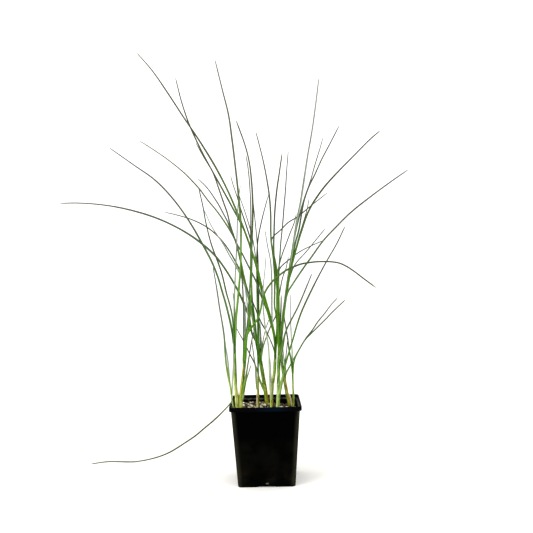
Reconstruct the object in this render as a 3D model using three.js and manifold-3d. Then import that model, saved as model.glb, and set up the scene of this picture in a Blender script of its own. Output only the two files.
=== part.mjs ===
// A dwarf cattail in a square plastic pot, standing on a floor at z = 0.
// Millimetres, +Z up, +Y away from the side that is looked at, origin at the middle of the pot's underside.
import * as THREE from "three";
import { mergeVertices } from "three/addons/utils/BufferGeometryUtils.js";
import Module from "manifold-3d";

const wasm = await Module();
wasm.setup();

// The pot: a 9 cm square nursery pot with a collar around its rim.
const POT_HEIGHT = 100;
const RIM_HALF = 45;
const COLLAR_UNDERSIDE = 94.4;
const BODY_TOP_HALF = 42.75;
const BODY_FOOT_HALF = 35.7;
const RIM_CORNER = 6.2;
const BODY_CORNER = 5.4;
const FOOT_CORNER = 4.6;
const RIM_BEVEL = 0.6;
const WALL = 1.0;
const COLLAR_WALL = 1.4;
const LEDGE = 95.4;
const BASE_UNDERSIDE = 2.2;
const BASE_TOP = 3.4;
const FOOT_NOTCH_WIDTH = 22;
const PAD_RADIUS = 8;
const DRAIN_RADIUS = 3.6;
const DRAIN_OFFSET = 20;

// What the pot holds.
const GAP = 0.3;
const HOLE_GROW = 0.4;
const SOIL_TOP = 84;
const GRAVEL_TOP = 89.6;
const GRAVEL_CELL = 3.1;
const GRAVEL_RISE = 1.1;
const HOLLOW_DEPTH = 2.6;
const HOLLOW_X = [6, 18];
const HOLLOW_Y = [-20, 20];
const PEBBLE_RISE = 1.6;
const PEBBLE_COUNT = 420;
const ROOT_DEPTH = 68;
const ROOT_INWARD = 0.92;

// The leaves are laid out on the upright plane y = 0 as they look from EYE.
// Each point then moves along its line of sight to the depth y of its leaf.
const EYE = new THREE.Vector3(4.8, -849, 257);

// Leaf section: a flat strip, thicker along its middle.
const LEAF_THICK = 1.15;
const TIP_THICK = 0.65;
const TIP_WIDTH = 1.3;
const STATION_STEP = 36;

// One entry for each shoot: depth of its root, half width of its stem, its stem line and its leaves.
// A leaf is [width, depth of its tip, turn at its foot, turn at its tip, points up to the tip].
const SHOOTS = {
  shoot_a: {
    y: -34,
    half: 1.05,
    stem: [[-41.3, 91], [-42.6, 97], [-43.6, 104], [-44.3, 111], [-45.2, 120], [-46.4, 130]],
    leaves: [
      [2.1, -62, 20, 40, [[-44, 108], [-45.4, 120], [-47.4, 130], [-48.8, 140], [-50, 150],
        [-51, 165], [-51.5, 180], [-52.4, 190], [-53.8, 200], [-56.9, 220], [-59.5, 240],
        [-62.4, 260], [-65, 276]]],
      [2.1, -20, -30, -40, [[-43.8, 108], [-45.2, 120], [-46.6, 140], [-47.3, 150], [-48.4, 160],
        [-50, 170], [-51.6, 184]]],
      [1.9, -26, 20, 30, [[-43.2, 102], [-42.9, 114], [-42, 125.5], [-41.3, 133], [-40.5, 147],
        [-40.3, 162], [-40.5, 176]]],
    ],
  },
  shoot_b: {
    y: -14,
    half: 2.2,
    stem: [[-37.2, 89], [-37.3, 100], [-37.6, 110], [-38, 120], [-38.3, 135], [-38.5, 150],
      [-38.7, 165], [-38.7, 182]],
    leaves: [
      [2.4, -84, 10, 30, [[-38.5, 172], [-36, 206], [-34, 224], [-32, 242], [-30, 262], [-28.5, 280],
        [-28, 300], [-27.5, 325], [-28.5, 349], [-30.5, 375], [-33, 402], [-37, 441], [-41, 473],
        [-48.5, 506], [-57.5, 546]]],
      [2.0, -19, 30, 40, [[-38.7, 170], [-38.4, 205], [-38, 225], [-36, 262], [-34, 292], [-32.5, 320],
        [-31.5, 345], [-29.5, 366], [-27, 381]]],
      [2.3, 2, 0, 35, [[-39, 150], [-39.8, 174], [-41.8, 192], [-44.6, 207], [-48.7, 225],
        [-53.6, 243], [-58.6, 261], [-66, 280.5], [-77, 302.5], [-90, 326.5], [-104.5, 349.5],
        [-121, 371], [-139.5, 390], [-166, 409.5], [-198, 433]]],
      [2.0, -74, -20, -35, [[-38.8, 158], [-39.4, 190], [-41, 210], [-42.8, 220], [-45.3, 230],
        [-48, 240], [-52.2, 260], [-54.8, 270], [-59.6, 284], [-66.5, 304], [-73, 332], [-77, 356],
        [-82, 379]]],
      [1.8, -8, 30, 40, [[-38.5, 165], [-37.6, 198], [-37.4, 215], [-38.3, 229], [-39.7, 242]]],
    ],
  },
  shoot_c: {
    y: -14,
    half: 2.25,
    stem: [[-31.9, 89], [-31.7, 103], [-30.9, 113], [-29.3, 124], [-27.9, 135], [-26.4, 146],
      [-25.5, 158], [-24.6, 172]],
    leaves: [
      [1.9, -46, 30, 50, [[-30, 106], [-27, 120], [-23.9, 135], [-21.6, 148], [-19.1, 162],
        [-16.4, 177], [-13.2, 189], [-11.5, 198]]],
      [2.2, -66, 15, 20, [[-26.2, 150], [-24.8, 174], [-20.5, 190], [-18.4, 206], [-17, 225],
        [-15.4, 240], [-15.1, 265], [-14.5, 285], [-13.5, 306], [-12, 335], [-11.5, 360], [-12.5, 385],
        [-15, 410], [-20, 432], [-31.5, 466]]],
      [1.9, -30, 30, 40, [[-26.4, 148], [-25, 176], [-21.5, 197], [-19.2, 224], [-17.2, 250], [-16, 270],
        [-15, 310], [-14.2, 350], [-15, 380], [-17, 405], [-19.5, 421]]],
      [2.1, -92, 0, 20, [[-25.2, 150], [-23.6, 172], [-21.9, 185], [-18.9, 191], [-12.2, 200],
        [-7.4, 207], [-4, 217], [-1, 232], [4, 243.5], [13, 255], [22, 262.5], [30, 268],
        [40, 272.5], [50, 276], [60, 277.5], [70, 278.5], [80, 278.5], [90, 278], [100, 276],
        [110, 271], [120, 264], [130, 256], [147, 243]]],
      [2.1, -8, 25, 40, [[-27, 146], [-26.6, 182], [-26, 215], [-26.5, 240], [-28, 272],
        [-28.6, 300]]],
      [1.5, -24, 0, 10, [[-30.2, 100], [-27, 117], [-24.5, 127], [-22, 133.5], [-19.4, 141.5],
        [-17.3, 147.5]]],
      [1.6, -22, 0, 20, [[-25, 165], [-22.4, 188], [-20.7, 205], [-20.8, 219], [-22.9, 242],
        [-24.2, 252]]],
      [2.0, -16, 0, 20, [[-25.4, 160], [-24.6, 180], [-24.3, 204], [-24, 230]]],
    ],
  },
  shoot_d: {
    y: 13,
    half: 1.45,
    stem: [[-9.2, 92], [-9, 112], [-8.7, 135], [-8.6, 158]],
    leaves: [
      [2.3, 34, 20, 40, [[-8.8, 128], [-8.8, 158], [-10, 180], [-12, 205], [-14.8, 232], [-15, 260],
        [-14, 285], [-14.4, 304], [-17, 315], [-22, 332], [-27.5, 349.5], [-32, 366], [-37, 382],
        [-40, 394]]],
      [2.1, 22, -10, -35, [[-8.8, 130], [-8.2, 165], [-8, 210], [-8, 258], [-7.4, 289], [-5.6, 309],
        [-1, 331], [5, 353], [9.5, 368]]],
      [1.8, 17, 40, 30, [[-8.7, 128], [-7.4, 165], [-6.4, 212], [-6, 258], [-6.2, 290], [-7.5, 315],
        [-9.5, 340], [-11.5, 362]]],
      [1.8, 30, 30, 40, [[-9.6, 108], [-11, 121], [-11.8, 140], [-13.6, 155], [-15.6, 173],
        [-16.2, 183]]],
    ],
  },
  shoot_e: {
    y: 32,
    half: 2.8,
    stem: [[2.2, 95.6], [1.2, 104], [0.5, 111], [-0.5, 119], [-2.1, 130], [-5, 149], [-7.6, 164],
      [-10.2, 178]],
    leaves: [
      [2.1, 22, 20, 50, [[1.2, 108], [-3.6, 118], [-7.5, 129], [-10, 140], [-13.5, 149.5],
        [-19.5, 161.5], [-27, 178], [-33, 189], [-36.5, 196]]],
      [2.3, 80, 10, 30, [[-8, 163], [-12.6, 194], [-15, 214], [-19, 236], [-24.5, 260], [-29, 283],
        [-34.5, 306], [-38, 317], [-42, 331], [-45, 344.5], [-48.5, 355], [-51.5, 364],
        [-55.5, 376.5], [-63, 398], [-75, 419], [-85, 438]]],
      [2.1, 135, 0, 35, [[-7, 158], [-12.4, 190], [-15.6, 214], [-20, 238], [-25, 260], [-29.4, 283],
        [-34.5, 306], [-40, 318], [-50.5, 335.5], [-60, 349], [-70.5, 362], [-80, 375.5],
        [-90, 387], [-100, 397.5], [-120, 414.5], [-140, 429], [-158, 441]]],
      [1.9, 96, 40, 40, [[-5, 148], [-7, 172], [-6.6, 200], [-6.4, 250], [-9, 285], [-12.5, 310],
        [-16, 325], [-21.5, 344], [-27, 361], [-30.5, 371]]],
      [2.0, 50, -20, -35, [[-6.4, 155], [-11.6, 184], [-15, 208], [-21, 240], [-27.6, 259],
        [-34, 273], [-43.5, 290], [-52, 306], [-60, 318], [-66.5, 329], [-72, 342], [-77, 352]]],
      [2.1, 116, 10, 30, [[-6, 153], [-11, 182], [-14.4, 207], [-17, 222], [-20, 235], [-24, 250],
        [-27.5, 263], [-34.5, 279], [-44.5, 297], [-54, 310], [-70, 325], [-90, 336], [-111, 343],
        [-127, 347]]],
      [2.5, 66, 0, 20, [[-3, 137], [-7, 160], [-11, 177], [-15.6, 187], [-19.3, 209], [-23.2, 220],
        [-31.5, 240], [-45, 265], [-61, 288], [-80, 306], [-101, 321], [-126, 334.5], [-151, 344.5],
        [-183, 353.5], [-211, 358.5], [-240, 361], [-263, 361]]],
      [1.8, 40, 20, 35, [[-2.6, 135], [-4.6, 150], [-1.1, 170.5], [4.1, 185], [10.2, 199], [15, 208],
        [17.8, 218], [21.8, 242], [25.9, 260], [29.9, 270], [33.8, 287]]],
      [1.4, 36, 20, 40, [[-6.4, 156], [-4.4, 166], [0, 185], [2.4, 193.5], [7.2, 206]]],
      [2.6, 44, 0, 20, [[-5.6, 150], [-4.6, 166], [-4.6, 180], [-5.2, 202]]],
    ],
  },
  shoot_f: {
    y: 6,
    half: 2.2,
    stem: [[7.8, 91], [7.9, 102], [8.5, 110], [9.7, 120], [11.4, 130], [13, 142], [13.7, 155],
      [14.2, 172]],
    leaves: [
      [1.9, 0, 20, 40, [[7, 98], [6.4, 112], [6, 128], [5.7, 145], [5.9, 158], [5.2, 171],
        [3.6, 182], [1.6, 195], [-0.3, 218], [-0.2, 243], [2.9, 271], [4.7, 289]]],
      [2.4, 20, 5, 25, [[13.8, 154], [14.4, 176], [11, 198], [4, 225], [-2, 248], [-7, 272],
        [-13, 291], [-21, 315], [-31, 342], [-45, 376], [-60, 406], [-80, 440], [-100, 471],
        [-120, 503], [-140, 533], [-160, 557]]],
      [2.2, -6, 30, 20, [[13.7, 150], [13.6, 178], [6, 210], [-3, 245], [-9, 275], [-15, 295],
        [-22, 318], [-34, 343], [-50, 374], [-68, 408], [-79, 430], [-92.5, 461], [-102, 491],
        [-109.5, 523]]],
      [2.0, 14, -10, 30, [[13.6, 148], [13.4, 174], [8.4, 204], [3, 220], [-3, 236], [-9, 254],
        [-16.5, 270], [-27, 292], [-34, 306], [-41.5, 324], [-45, 333.5], [-50, 343.5],
        [-55, 353.5], [-60, 362], [-70.5, 377.5], [-83.5, 391]]],
      [2.0, 10, 30, 30, [[12.2, 140], [14, 165], [13.6, 180], [11, 203], [10.7, 220], [11.2, 256],
        [10.1, 281], [6.6, 300.5], [3.8, 321]]],
      [2.1, 22, 20, 40, [[14.2, 150], [15.2, 165], [16.9, 190], [16.4, 207], [14.2, 223], [14.8, 241],
        [15, 262], [13.2, 290], [12, 300], [12.1, 308.6], [14.7, 312.8], [24.3, 321],
        [34.5, 330.7], [45.5, 337], [63.5, 351], [87, 369]]],
      [1.9, 12, -25, -35, [[12.7, 145], [15.2, 165], [17.8, 200], [18.6, 240], [18.9, 258],
        [20.6, 272], [25.8, 290], [29.8, 300], [36.5, 317], [42, 330], [45, 342]]],
      [1.8, 28, 15, 35, [[12.4, 143], [14.4, 165], [16.9, 200], [17.1, 220], [17.6, 240], [19, 257],
        [22, 270.5], [33, 281], [47.5, 291.5], [63.5, 299.5], [80.5, 306.5]]],
      [1.6, -8, 30, 40, [[7.8, 98], [7.9, 118], [7.6, 139], [7, 156]]],
      [1.8, -4, 20, 35, [[13.9, 150], [13.7, 162], [8.2, 177.5], [1.2, 192.5], [-3.1, 200], [-8, 212],
        [-12.8, 225], [-18.5, 238], [-24, 250]]],
    ],
  },
  shoot_g: {
    y: -6,
    half: 2.45,
    stem: [[15.7, 89.6], [16.4, 100], [17, 110], [17.3, 120], [17.6, 131], [18.2, 145],
      [18.9, 162], [19.4, 180]],
    leaves: [
      [2.0, -44, 10, 30, [[17, 104], [19.7, 117.6], [24.4, 135.8], [28.4, 151], [33, 165.5],
        [37.8, 180], [42, 194], [47.2, 209], [52.4, 221], [67, 250], [82, 277], [97, 302], [108.5, 325]]],
      [1.9, -86, 0, 35, [[18.9, 152], [24, 172], [26.4, 183], [30, 193], [35, 202.5], [45.5, 222],
        [56, 245.5], [64, 264]]],
      [2.3, -60, 20, 35, [[19.2, 168], [20, 200], [19.4, 240], [18.6, 262], [17.1, 275], [14.6, 288],
        [11.8, 302], [11.2, 318], [11.5, 340], [10.5, 362], [8, 383], [3, 412], [-6, 451]]],
      [2.0, -84, -25, 20, [[19, 165], [18.6, 200], [18, 240], [16, 270], [14.8, 285], [14.6, 300],
        [15.5, 318], [16.5, 338], [18, 355], [20.5, 375], [24, 396], [28.2, 422]]],
      [2.0, -26, 30, 40, [[19.2, 162], [20, 200], [20.2, 255], [21, 272], [22.5, 288], [24, 305],
        [26.5, 325], [29, 350], [31.5, 374], [33.5, 398], [36.2, 425]]],
      [2.3, -48, 5, 25, [[19.3, 172], [25, 210], [31, 250], [38, 290], [43.5, 322], [46.5, 338],
        [50.5, 355], [54, 375], [58, 398], [62, 421], [67.5, 449], [72.5, 480], [78, 519]]],
      [2.3, -122, 0, 35, [[19.2, 166], [23.4, 190], [29, 230], [36.5, 270], [47.5, 308],
        [53, 324], [58, 338], [65, 352], [73, 364], [83.5, 377.5], [101, 396], [121.5, 416],
        [142, 436], [157, 448.5]]],
      [2.0, -74, 10, 20, [[19.2, 165], [23.4, 190], [26.4, 210], [28.3, 225], [31.6, 239],
        [39, 251], [51.6, 269], [64, 285.5], [79.5, 306], [95, 322], [115.5, 341.5],
        [141.5, 361.5], [169, 381], [193, 397]]],
      [1.8, -32, 35, 40, [[19, 158], [23, 185], [27, 215], [31.5, 245], [36, 262], [42, 275.5],
        [57, 292], [69, 306], [83, 322.5]]],
      [1.6, -14, 20, 40, [[17, 102], [20.4, 118], [23.2, 130], [25.6, 143], [28.6, 163], [30.2, 178]]],
      [2.0, -10, 10, 30, [[19.6, 168], [21, 195], [22.4, 215], [23.3, 237]]],
    ],
  },
  shoot_h: {
    y: 24,
    half: 2.3,
    stem: [[31.3, 94.6], [30, 100], [28, 109], [26.4, 120], [24.8, 130], [23.4, 140],
      [22.2, 150], [21.5, 158]],
    leaves: [
      [1.9, 92, 20, 35, [[28.4, 108], [26.6, 120], [25.9, 128], [26.9, 133.4], [31.4, 142],
        [38.5, 154.5], [44.7, 164.8], [54, 179.5], [63, 190.5], [69.5, 200], [80, 212.5],
        [87, 221.5], [97, 232]]],
      [2.0, 118, 25, 35, [[23.4, 141], [21.4, 165], [25, 213], [33, 255], [40, 300], [48, 335],
        [55, 359], [62, 378], [65.5, 388], [69, 400], [72.5, 411], [76.5, 423], [82, 441]]],
      [2.3, 64, 5, 25, [[23, 143], [21.6, 168], [27, 220], [34.5, 260], [42, 300], [48, 321],
        [51.5, 340], [55.5, 359], [62, 376.5], [70, 392], [79, 411], [90, 431], [103.5, 456]]],
      [2.0, 36, -20, -35, [[22.8, 145], [22.2, 172], [23.6, 195], [30, 240], [37.5, 275],
        [44, 298], [48, 312], [52.5, 326], [57, 340], [60, 351], [62, 362]]],
      [1.6, 38, 20, 40, [[26, 120], [26.1, 133], [26.5, 142], [24.7, 158], [23.4, 178]]],
    ],
  },
  shoot_i: {
    y: 15,
    half: 1.35,
    stem: [[36.6, 93], [36.4, 110], [36.1, 125], [35.7, 140], [35, 150]],
    leaves: [
      [1.9, 2, 10, 35, [[36.2, 130], [34.2, 152], [32, 165], [30.5, 179.5], [28.5, 193.5],
        [27, 204], [26, 215]]],
      [1.9, 22, 30, 40, [[36.1, 130], [36, 150], [35.8, 165], [35.2, 181], [34.7, 206], [34.9, 238]]],
      [1.9, -10, 20, 35, [[36.1, 130], [37.8, 148], [40.4, 156], [46, 166.5], [53, 177.5],
        [61, 185.5], [70, 194], [80, 203.5], [90, 213.5], [107, 229]]],
    ],
  },
};

// A young sprout between two of the shoots.
const SPROUT = { y: -6, half: 1.15, stem: [[-35.2, 90], [-35, 98], [-34.7, 106], [-34.4, 113.5]] };

// A leaf that hangs over the left rim: [x, z, y] as it looks from EYE.
// HANGING_FLOOR holds its end on the floor, as true [x, y, z].
const HANGING_WIDTH = 2.0;
const HANGING_TURN = 40;
const HANGING_ROOT = [-38.4, -29.5, 86];
const HANGING = [[-40.8, 93, -29.5], [-42.6, 96.6, -29.5], [-44.3, 97.8, -30], [-45.8, 96.8, -30.5],
  [-47.4, 94.9, -30], [-50.3, 91.8, -26], [-55.4, 86.7, -18], [-60.6, 81.6, -10], [-70.1, 73.3, 5],
  [-79.5, 65.9, 18], [-91, 56.6, 32], [-105, 47.5, 46], [-124.5, 36, 60], [-139, 30.4, 69],
  [-155, 26.6, 77], [-170, 24.6, 82]];
const HANGING_FLOOR = [[-206, 88, 0.9], [-228, 90, 0.8], [-249, 80, 0.8]];

// Old dry sheaths, each a thin strip against a stem: root [x, y], then [x, y, z] points.
const SHEATH_THICK = 0.7;
const SHEATHS = {
  sheath_cream: {
    width: 2.6,
    turn: 35,
    points: [[-11.1, 9.6, 78], [-11, 9.6, 92], [-10.8, 9.6, 102], [-10.7, 9.8, 109], [-10.9, 10.2, 114]],
  },
  sheath_straw: {
    width: 3.2,
    turn: -30,
    points: [[35.2, 20.2, 78], [34.6, 20.2, 88], [34, 20.2, 94], [33.1, 20.2, 99], [31.4, 20, 105.5]],
  },
  sheath_brown: {
    width: 3.0,
    turn: 45,
    points: [[10.5, 3.5, 78], [10.5, 3.5, 88], [10.5, 3.6, 94], [10.3, 3.7, 100.6]],
  },
};

const COLOURS = {
  pot_black: new THREE.MeshStandardMaterial({ color: 0x15171a, roughness: 0.4 }),
  soil: new THREE.MeshStandardMaterial({ color: 0x3a2c20, roughness: 1 }),
  gravel: new THREE.MeshStandardMaterial({ color: 0xb9a88a, roughness: 0.9 }),
  leaf_green: new THREE.MeshStandardMaterial({ color: 0x4f8a25, roughness: 0.55 }),
  leaf_pale: new THREE.MeshStandardMaterial({ color: 0x96b84a, roughness: 0.55 }),
  sheath_dry: new THREE.MeshStandardMaterial({ color: 0xd9cc9e, roughness: 0.9 }),
  sheath_old: new THREE.MeshStandardMaterial({ color: 0x5a3020, roughness: 0.9 }),
};

// Repeatable draws between 0 and 1.
function drawer(seed) {
  let state = seed;
  return function draw() {
    state = (state * 1664525 + 1013904223) % 4294967296;
    return state / 4294967296;
  };
}

// A point of the upright plane y = 0, moved to depth y along the line of sight.
function seen(x, z, y) {
  const k = (y - EYE.y) / -EYE.y;
  return new THREE.Vector3(EYE.x + (x - EYE.x) * k, y, EYE.z + (z - EYE.z) * k);
}

// The manifold solid of a geometry.
function solid(geometry) {
  const bare = new THREE.BufferGeometry();
  bare.setAttribute("position", geometry.getAttribute("position"));
  if (geometry.index) bare.setIndex(geometry.index);
  const merged = mergeVertices(bare, 1e-5);
  const mesh = new wasm.Mesh({
    numProp: 3,
    vertProperties: new Float32Array(merged.attributes.position.array),
    triVerts: new Uint32Array(merged.index.array),
  });
  return new wasm.Manifold(mesh);
}

// The geometry of a manifold solid.
function geometryOf(body) {
  const mesh = body.getMesh();
  const count = mesh.numProp;
  const positions = new Float32Array(mesh.numVert * 3);
  for (let i = 0; i < mesh.numVert; i++) {
    positions.set(mesh.vertProperties.subarray(i * count, i * count + 3), i * 3);
  }
  const geometry = new THREE.BufferGeometry();
  geometry.setAttribute("position", new THREE.BufferAttribute(positions, 3));
  geometry.setIndex(new THREE.BufferAttribute(mesh.triVerts, 1));
  return geometry;
}

// A solid skinned over rings of points, each ring counter-clockwise seen from its far end.
function skin(rings) {
  const n = rings[0].length;
  const positions = [];
  const faces = [];
  for (const ring of rings) {
    for (const p of ring) positions.push(p.x, p.y, p.z);
  }
  for (let k = 0; k + 1 < rings.length; k++) {
    for (let i = 0; i < n; i++) {
      const a = k * n + i;
      const b = k * n + ((i + 1) % n);
      faces.push(a, b, b + n, a, b + n, a + n);
    }
  }
  const last = (rings.length - 1) * n;
  for (let i = 1; i + 1 < n; i++) {
    faces.push(0, i + 1, i);
    faces.push(last, last + i, last + i + 1);
  }
  const geometry = new THREE.BufferGeometry();
  geometry.setAttribute("position", new THREE.Float32BufferAttribute(positions, 3));
  geometry.setIndex(faces);
  return solid(geometry);
}

// A square ring with rounded corners at height z.
function squareRing(half, corner, z) {
  const ring = [];
  const steps = 4;
  for (let side = 0; side < 4; side++) {
    const sx = side === 0 || side === 3 ? 1 : -1;
    const sy = side < 2 ? 1 : -1;
    for (let i = 0; i <= steps; i++) {
      const angle = (side + i / steps) * (Math.PI / 2);
      const x = sx * (half - corner) + corner * Math.cos(angle);
      const y = sy * (half - corner) + corner * Math.sin(angle);
      ring.push(new THREE.Vector3(x, y, z));
    }
  }
  return ring;
}

function squareLoft(sections) {
  return skin(sections.map(([half, corner, z]) => squareRing(half, corner, z)));
}

// A round upright post between two heights.
function post(x, y, radius, low, high, sides) {
  const rings = [low, high].map((z) => {
    const ring = [];
    for (let i = 0; i < sides; i++) {
      const angle = (i / sides) * 2 * Math.PI;
      ring.push(new THREE.Vector3(x + radius * Math.cos(angle), y + radius * Math.sin(angle), z));
    }
    return ring;
  });
  return skin(rings);
}

function block(x0, x1, y0, y1, z0, z1) {
  const geometry = new THREE.BoxGeometry(x1 - x0, y1 - y0, z1 - z0);
  geometry.translate((x0 + x1) / 2, (y0 + y1) / 2, (z0 + z1) / 2);
  return solid(geometry);
}

// Half width of the pot's cavity at height z, below the ledge.
function cavityHalf(z) {
  const foot = BODY_FOOT_HALF - WALL;
  const top = BODY_TOP_HALF - WALL;
  return foot + ((top - foot) * z) / COLLAR_UNDERSIDE;
}

function makePot() {
  const outside = squareLoft([
    [BODY_FOOT_HALF, FOOT_CORNER, 0],
    [BODY_TOP_HALF, BODY_CORNER, COLLAR_UNDERSIDE],
    [RIM_HALF, RIM_CORNER, COLLAR_UNDERSIDE],
    [RIM_HALF, RIM_CORNER, POT_HEIGHT - RIM_BEVEL],
    [RIM_HALF - RIM_BEVEL, RIM_CORNER - RIM_BEVEL, POT_HEIGHT],
  ]);
  const collarInside = RIM_HALF - COLLAR_WALL;
  const inside = squareLoft([
    [cavityHalf(BASE_TOP), FOOT_CORNER - WALL, BASE_TOP],
    [cavityHalf(LEDGE), BODY_CORNER - WALL, LEDGE],
    [collarInside, RIM_CORNER - COLLAR_WALL, LEDGE],
    [collarInside, RIM_CORNER - COLLAR_WALL, POT_HEIGHT + 1],
  ]);
  const under = squareLoft([
    [BODY_FOOT_HALF - 1.4, FOOT_CORNER - 1.4, -1],
    [BODY_FOOT_HALF - 1.4, FOOT_CORNER - 1.4, BASE_UNDERSIDE],
  ]);
  const pad = post(0, 0, PAD_RADIUS, -2, BASE_UNDERSIDE + 1, 24);
  const notch = FOOT_NOTCH_WIDTH / 2;
  const far = RIM_HALF + 5;
  let pot = outside.subtract(inside);
  pot = pot.subtract(under.subtract(pad));
  for (const side of [-1, 1]) {
    const near = BODY_FOOT_HALF - 3;
    const from = Math.min(side * near, side * far);
    const to = Math.max(side * near, side * far);
    pot = pot.subtract(block(-notch, notch, from, to, -1, BASE_UNDERSIDE - 0.6));
    pot = pot.subtract(block(from, to, -notch, notch, -1, BASE_UNDERSIDE - 0.6));
  }
  for (const sx of [-1, 1]) {
    for (const sy of [-1, 1]) {
      const hole = post(sx * DRAIN_OFFSET, sy * DRAIN_OFFSET, DRAIN_RADIUS, -1, BASE_TOP + 1, 16);
      pot = pot.subtract(hole);
    }
  }
  return pot;
}

// A tube with an oval section along 3-D points; halves are its half width at each point.
function tube(points, halves, sides, grow) {
  const rings = points.map((p, k) => {
    const before = points[Math.max(0, k - 1)];
    const after = points[Math.min(points.length - 1, k + 1)];
    const along = after.clone().sub(before).normalize();
    const across = along.clone().cross(EYE.clone().sub(p)).normalize();
    const facing = across.clone().cross(along).normalize();
    const ring = [];
    for (let i = 0; i < sides; i++) {
      const angle = (i / sides) * 2 * Math.PI;
      const a = (halves[k] + grow) * Math.cos(angle);
      const b = (halves[k] * 0.85 + grow) * Math.sin(angle);
      ring.push(p.clone().addScaledVector(across, a).addScaledVector(facing, -b));
    }
    return ring;
  });
  return skin(rings);
}

// The points of a stem in space: down into the soil, a little inwards, then along its line.
function stemPoints(shoot) {
  const above = shoot.stem.map(([x, z]) => seen(x, z, shoot.y));
  const foot = above[0];
  const end = new THREE.Vector3(foot.x * ROOT_INWARD, foot.y * ROOT_INWARD, ROOT_DEPTH);
  return [end, new THREE.Vector3(foot.x, foot.y, 85.5), ...above];
}

// Nested sheaths: a wide lower one that ends below the top of the narrower inner one.
function makeStem(shoot) {
  const points = stemPoints(shoot);
  const last = points.length - 1;
  const innerHalves = points.map((_, k) => shoot.half * (k === last ? 0.55 : 0.88 - (0.12 * k) / last));
  const inner = tube(points, innerHalves, 8, 0);
  const cut = Math.max(4, last - 1);
  const low = points.slice(0, cut);
  const lowHalves = low.map((_, k) => shoot.half * (k < 2 ? 0.94 : 1 - 0.08 * (k / cut) ** 3));
  return tube(low, lowHalves, 10, 0).add(inner);
}

// The hole a stem needs in the soil and the gravel.
function stemHole(shoot) {
  const points = stemPoints(shoot).slice(0, 5);
  points[0].z -= GAP;
  return tube(points, points.map(() => shoot.half), 10, GAP);
}

// Points spaced along a smooth curve: one at each given point and more in the long spans.
function stations(points, step) {
  const curve = new THREE.CatmullRomCurve3(points, false, "centripetal");
  const spans = points.length - 1;
  const at = [];
  for (let k = 0; k < spans; k++) {
    const pieces = Math.max(1, Math.round(points[k].distanceTo(points[k + 1]) / step));
    for (let i = 0; i < pieces; i++) at.push((k + i / pieces) / spans);
  }
  at.push(1);
  return at.map((t) => ({ t, p: curve.getPoint(t), along: curve.getTangent(t).normalize() }));
}

// A leaf: a strip whose section has six corners, thick in its middle, narrowing to the tip.
function makeStrip(points, width, thick, turnFoot, turnTip, tipWidth, grow = 0) {
  const spots = stations(points, STATION_STEP);
  const lengths = [0];
  for (let k = 1; k < spots.length; k++) {
    lengths.push(lengths[k - 1] + spots[k].p.distanceTo(spots[k - 1].p));
  }
  const total = lengths[lengths.length - 1];
  const rings = spots.map(({ p, along }, k) => {
    const s = lengths[k] / total;
    const taper = s < 0.45 ? 1 : 1 - ((s - 0.45) / 0.55) ** 1.5;
    const w = (tipWidth + (width - tipWidth) * taper) / 2 + 1.3 * grow;
    const h = (Math.min(thick, TIP_THICK) + Math.max(0, thick - TIP_THICK) * (1 - s)) / 2 + grow;
    const turn = THREE.MathUtils.degToRad(turnFoot + (turnTip - turnFoot) * s);
    const across = along.clone().cross(EYE.clone().sub(p)).normalize().applyAxisAngle(along, turn);
    const facing = across.clone().cross(along).normalize();
    const corners = [[1, 0], [0.5, 0.75], [-0.5, 0.75], [-1, 0], [-0.5, -1], [0.5, -1]];
    return corners.map(([a, b]) => p.clone().addScaledVector(across, a * w).addScaledVector(facing, -b * h));
  });
  return skin(rings);
}

function makeLeaf(shoot, leaf) {
  const [width, tipDepth, turnFoot, turnTip, line] = leaf;
  const last = line.length - 1;
  const points = line.map(([x, z], k) => seen(x, z, shoot.y + (tipDepth - shoot.y) * (k / last) ** 1.35));
  return makeStrip(points, width, LEAF_THICK, turnFoot, turnTip, TIP_WIDTH);
}

function makeShoot(shoot) {
  let body = makeStem(shoot);
  for (const leaf of shoot.leaves) body = body.add(makeLeaf(shoot, leaf));
  return body;
}

// The sprout: a stem that narrows to a blunt point.
function makeSprout() {
  const points = stemPoints(SPROUT);
  const last = points.length - 1;
  const halves = points.map((_, k) => {
    const up = Math.max(0, (k - 2) / (last - 2));
    return Math.max(0.4, SPROUT.half * (1 - up ** 2));
  });
  return tube(points, halves, 8, 0);
}

function hangingPoints() {
  const [rx, ry, rz] = HANGING_ROOT;
  const points = [new THREE.Vector3(rx, ry, ROOT_DEPTH + 12), new THREE.Vector3(rx, ry, rz)];
  for (const [x, z, y] of HANGING) points.push(seen(x, z, y));
  for (const [x, y, z] of HANGING_FLOOR) points.push(new THREE.Vector3(x, y, z));
  return points;
}

function makeHanging(grow) {
  const points = hangingPoints();
  points[0].z -= grow;
  return makeStrip(points, HANGING_WIDTH, LEAF_THICK, HANGING_TURN, HANGING_TURN, TIP_WIDTH, grow);
}

function makeSheath(sheath, grow) {
  const points = sheath.points.map(([x, y, z]) => new THREE.Vector3(x, y, z));
  points[0].z -= grow;
  return makeStrip(points, sheath.width, SHEATH_THICK, sheath.turn, sheath.turn, 1.6, grow);
}

// 0 before the first place, 1 beyond the second, and a soft ramp between.
function passed(value, [from, to]) {
  const t = Math.min(1, Math.max(0, (value - from) / (to - from)));
  return t * t * (3 - 2 * t);
}

// How much higher the gravel is at the back, and how much lower in its hollow at the back on the right.
function gravelRise(x, y) {
  const hollow = HOLLOW_DEPTH * passed(x, HOLLOW_X) * passed(y, HOLLOW_Y);
  return (GRAVEL_RISE * y) / BODY_TOP_HALF - hollow;
}

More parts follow.
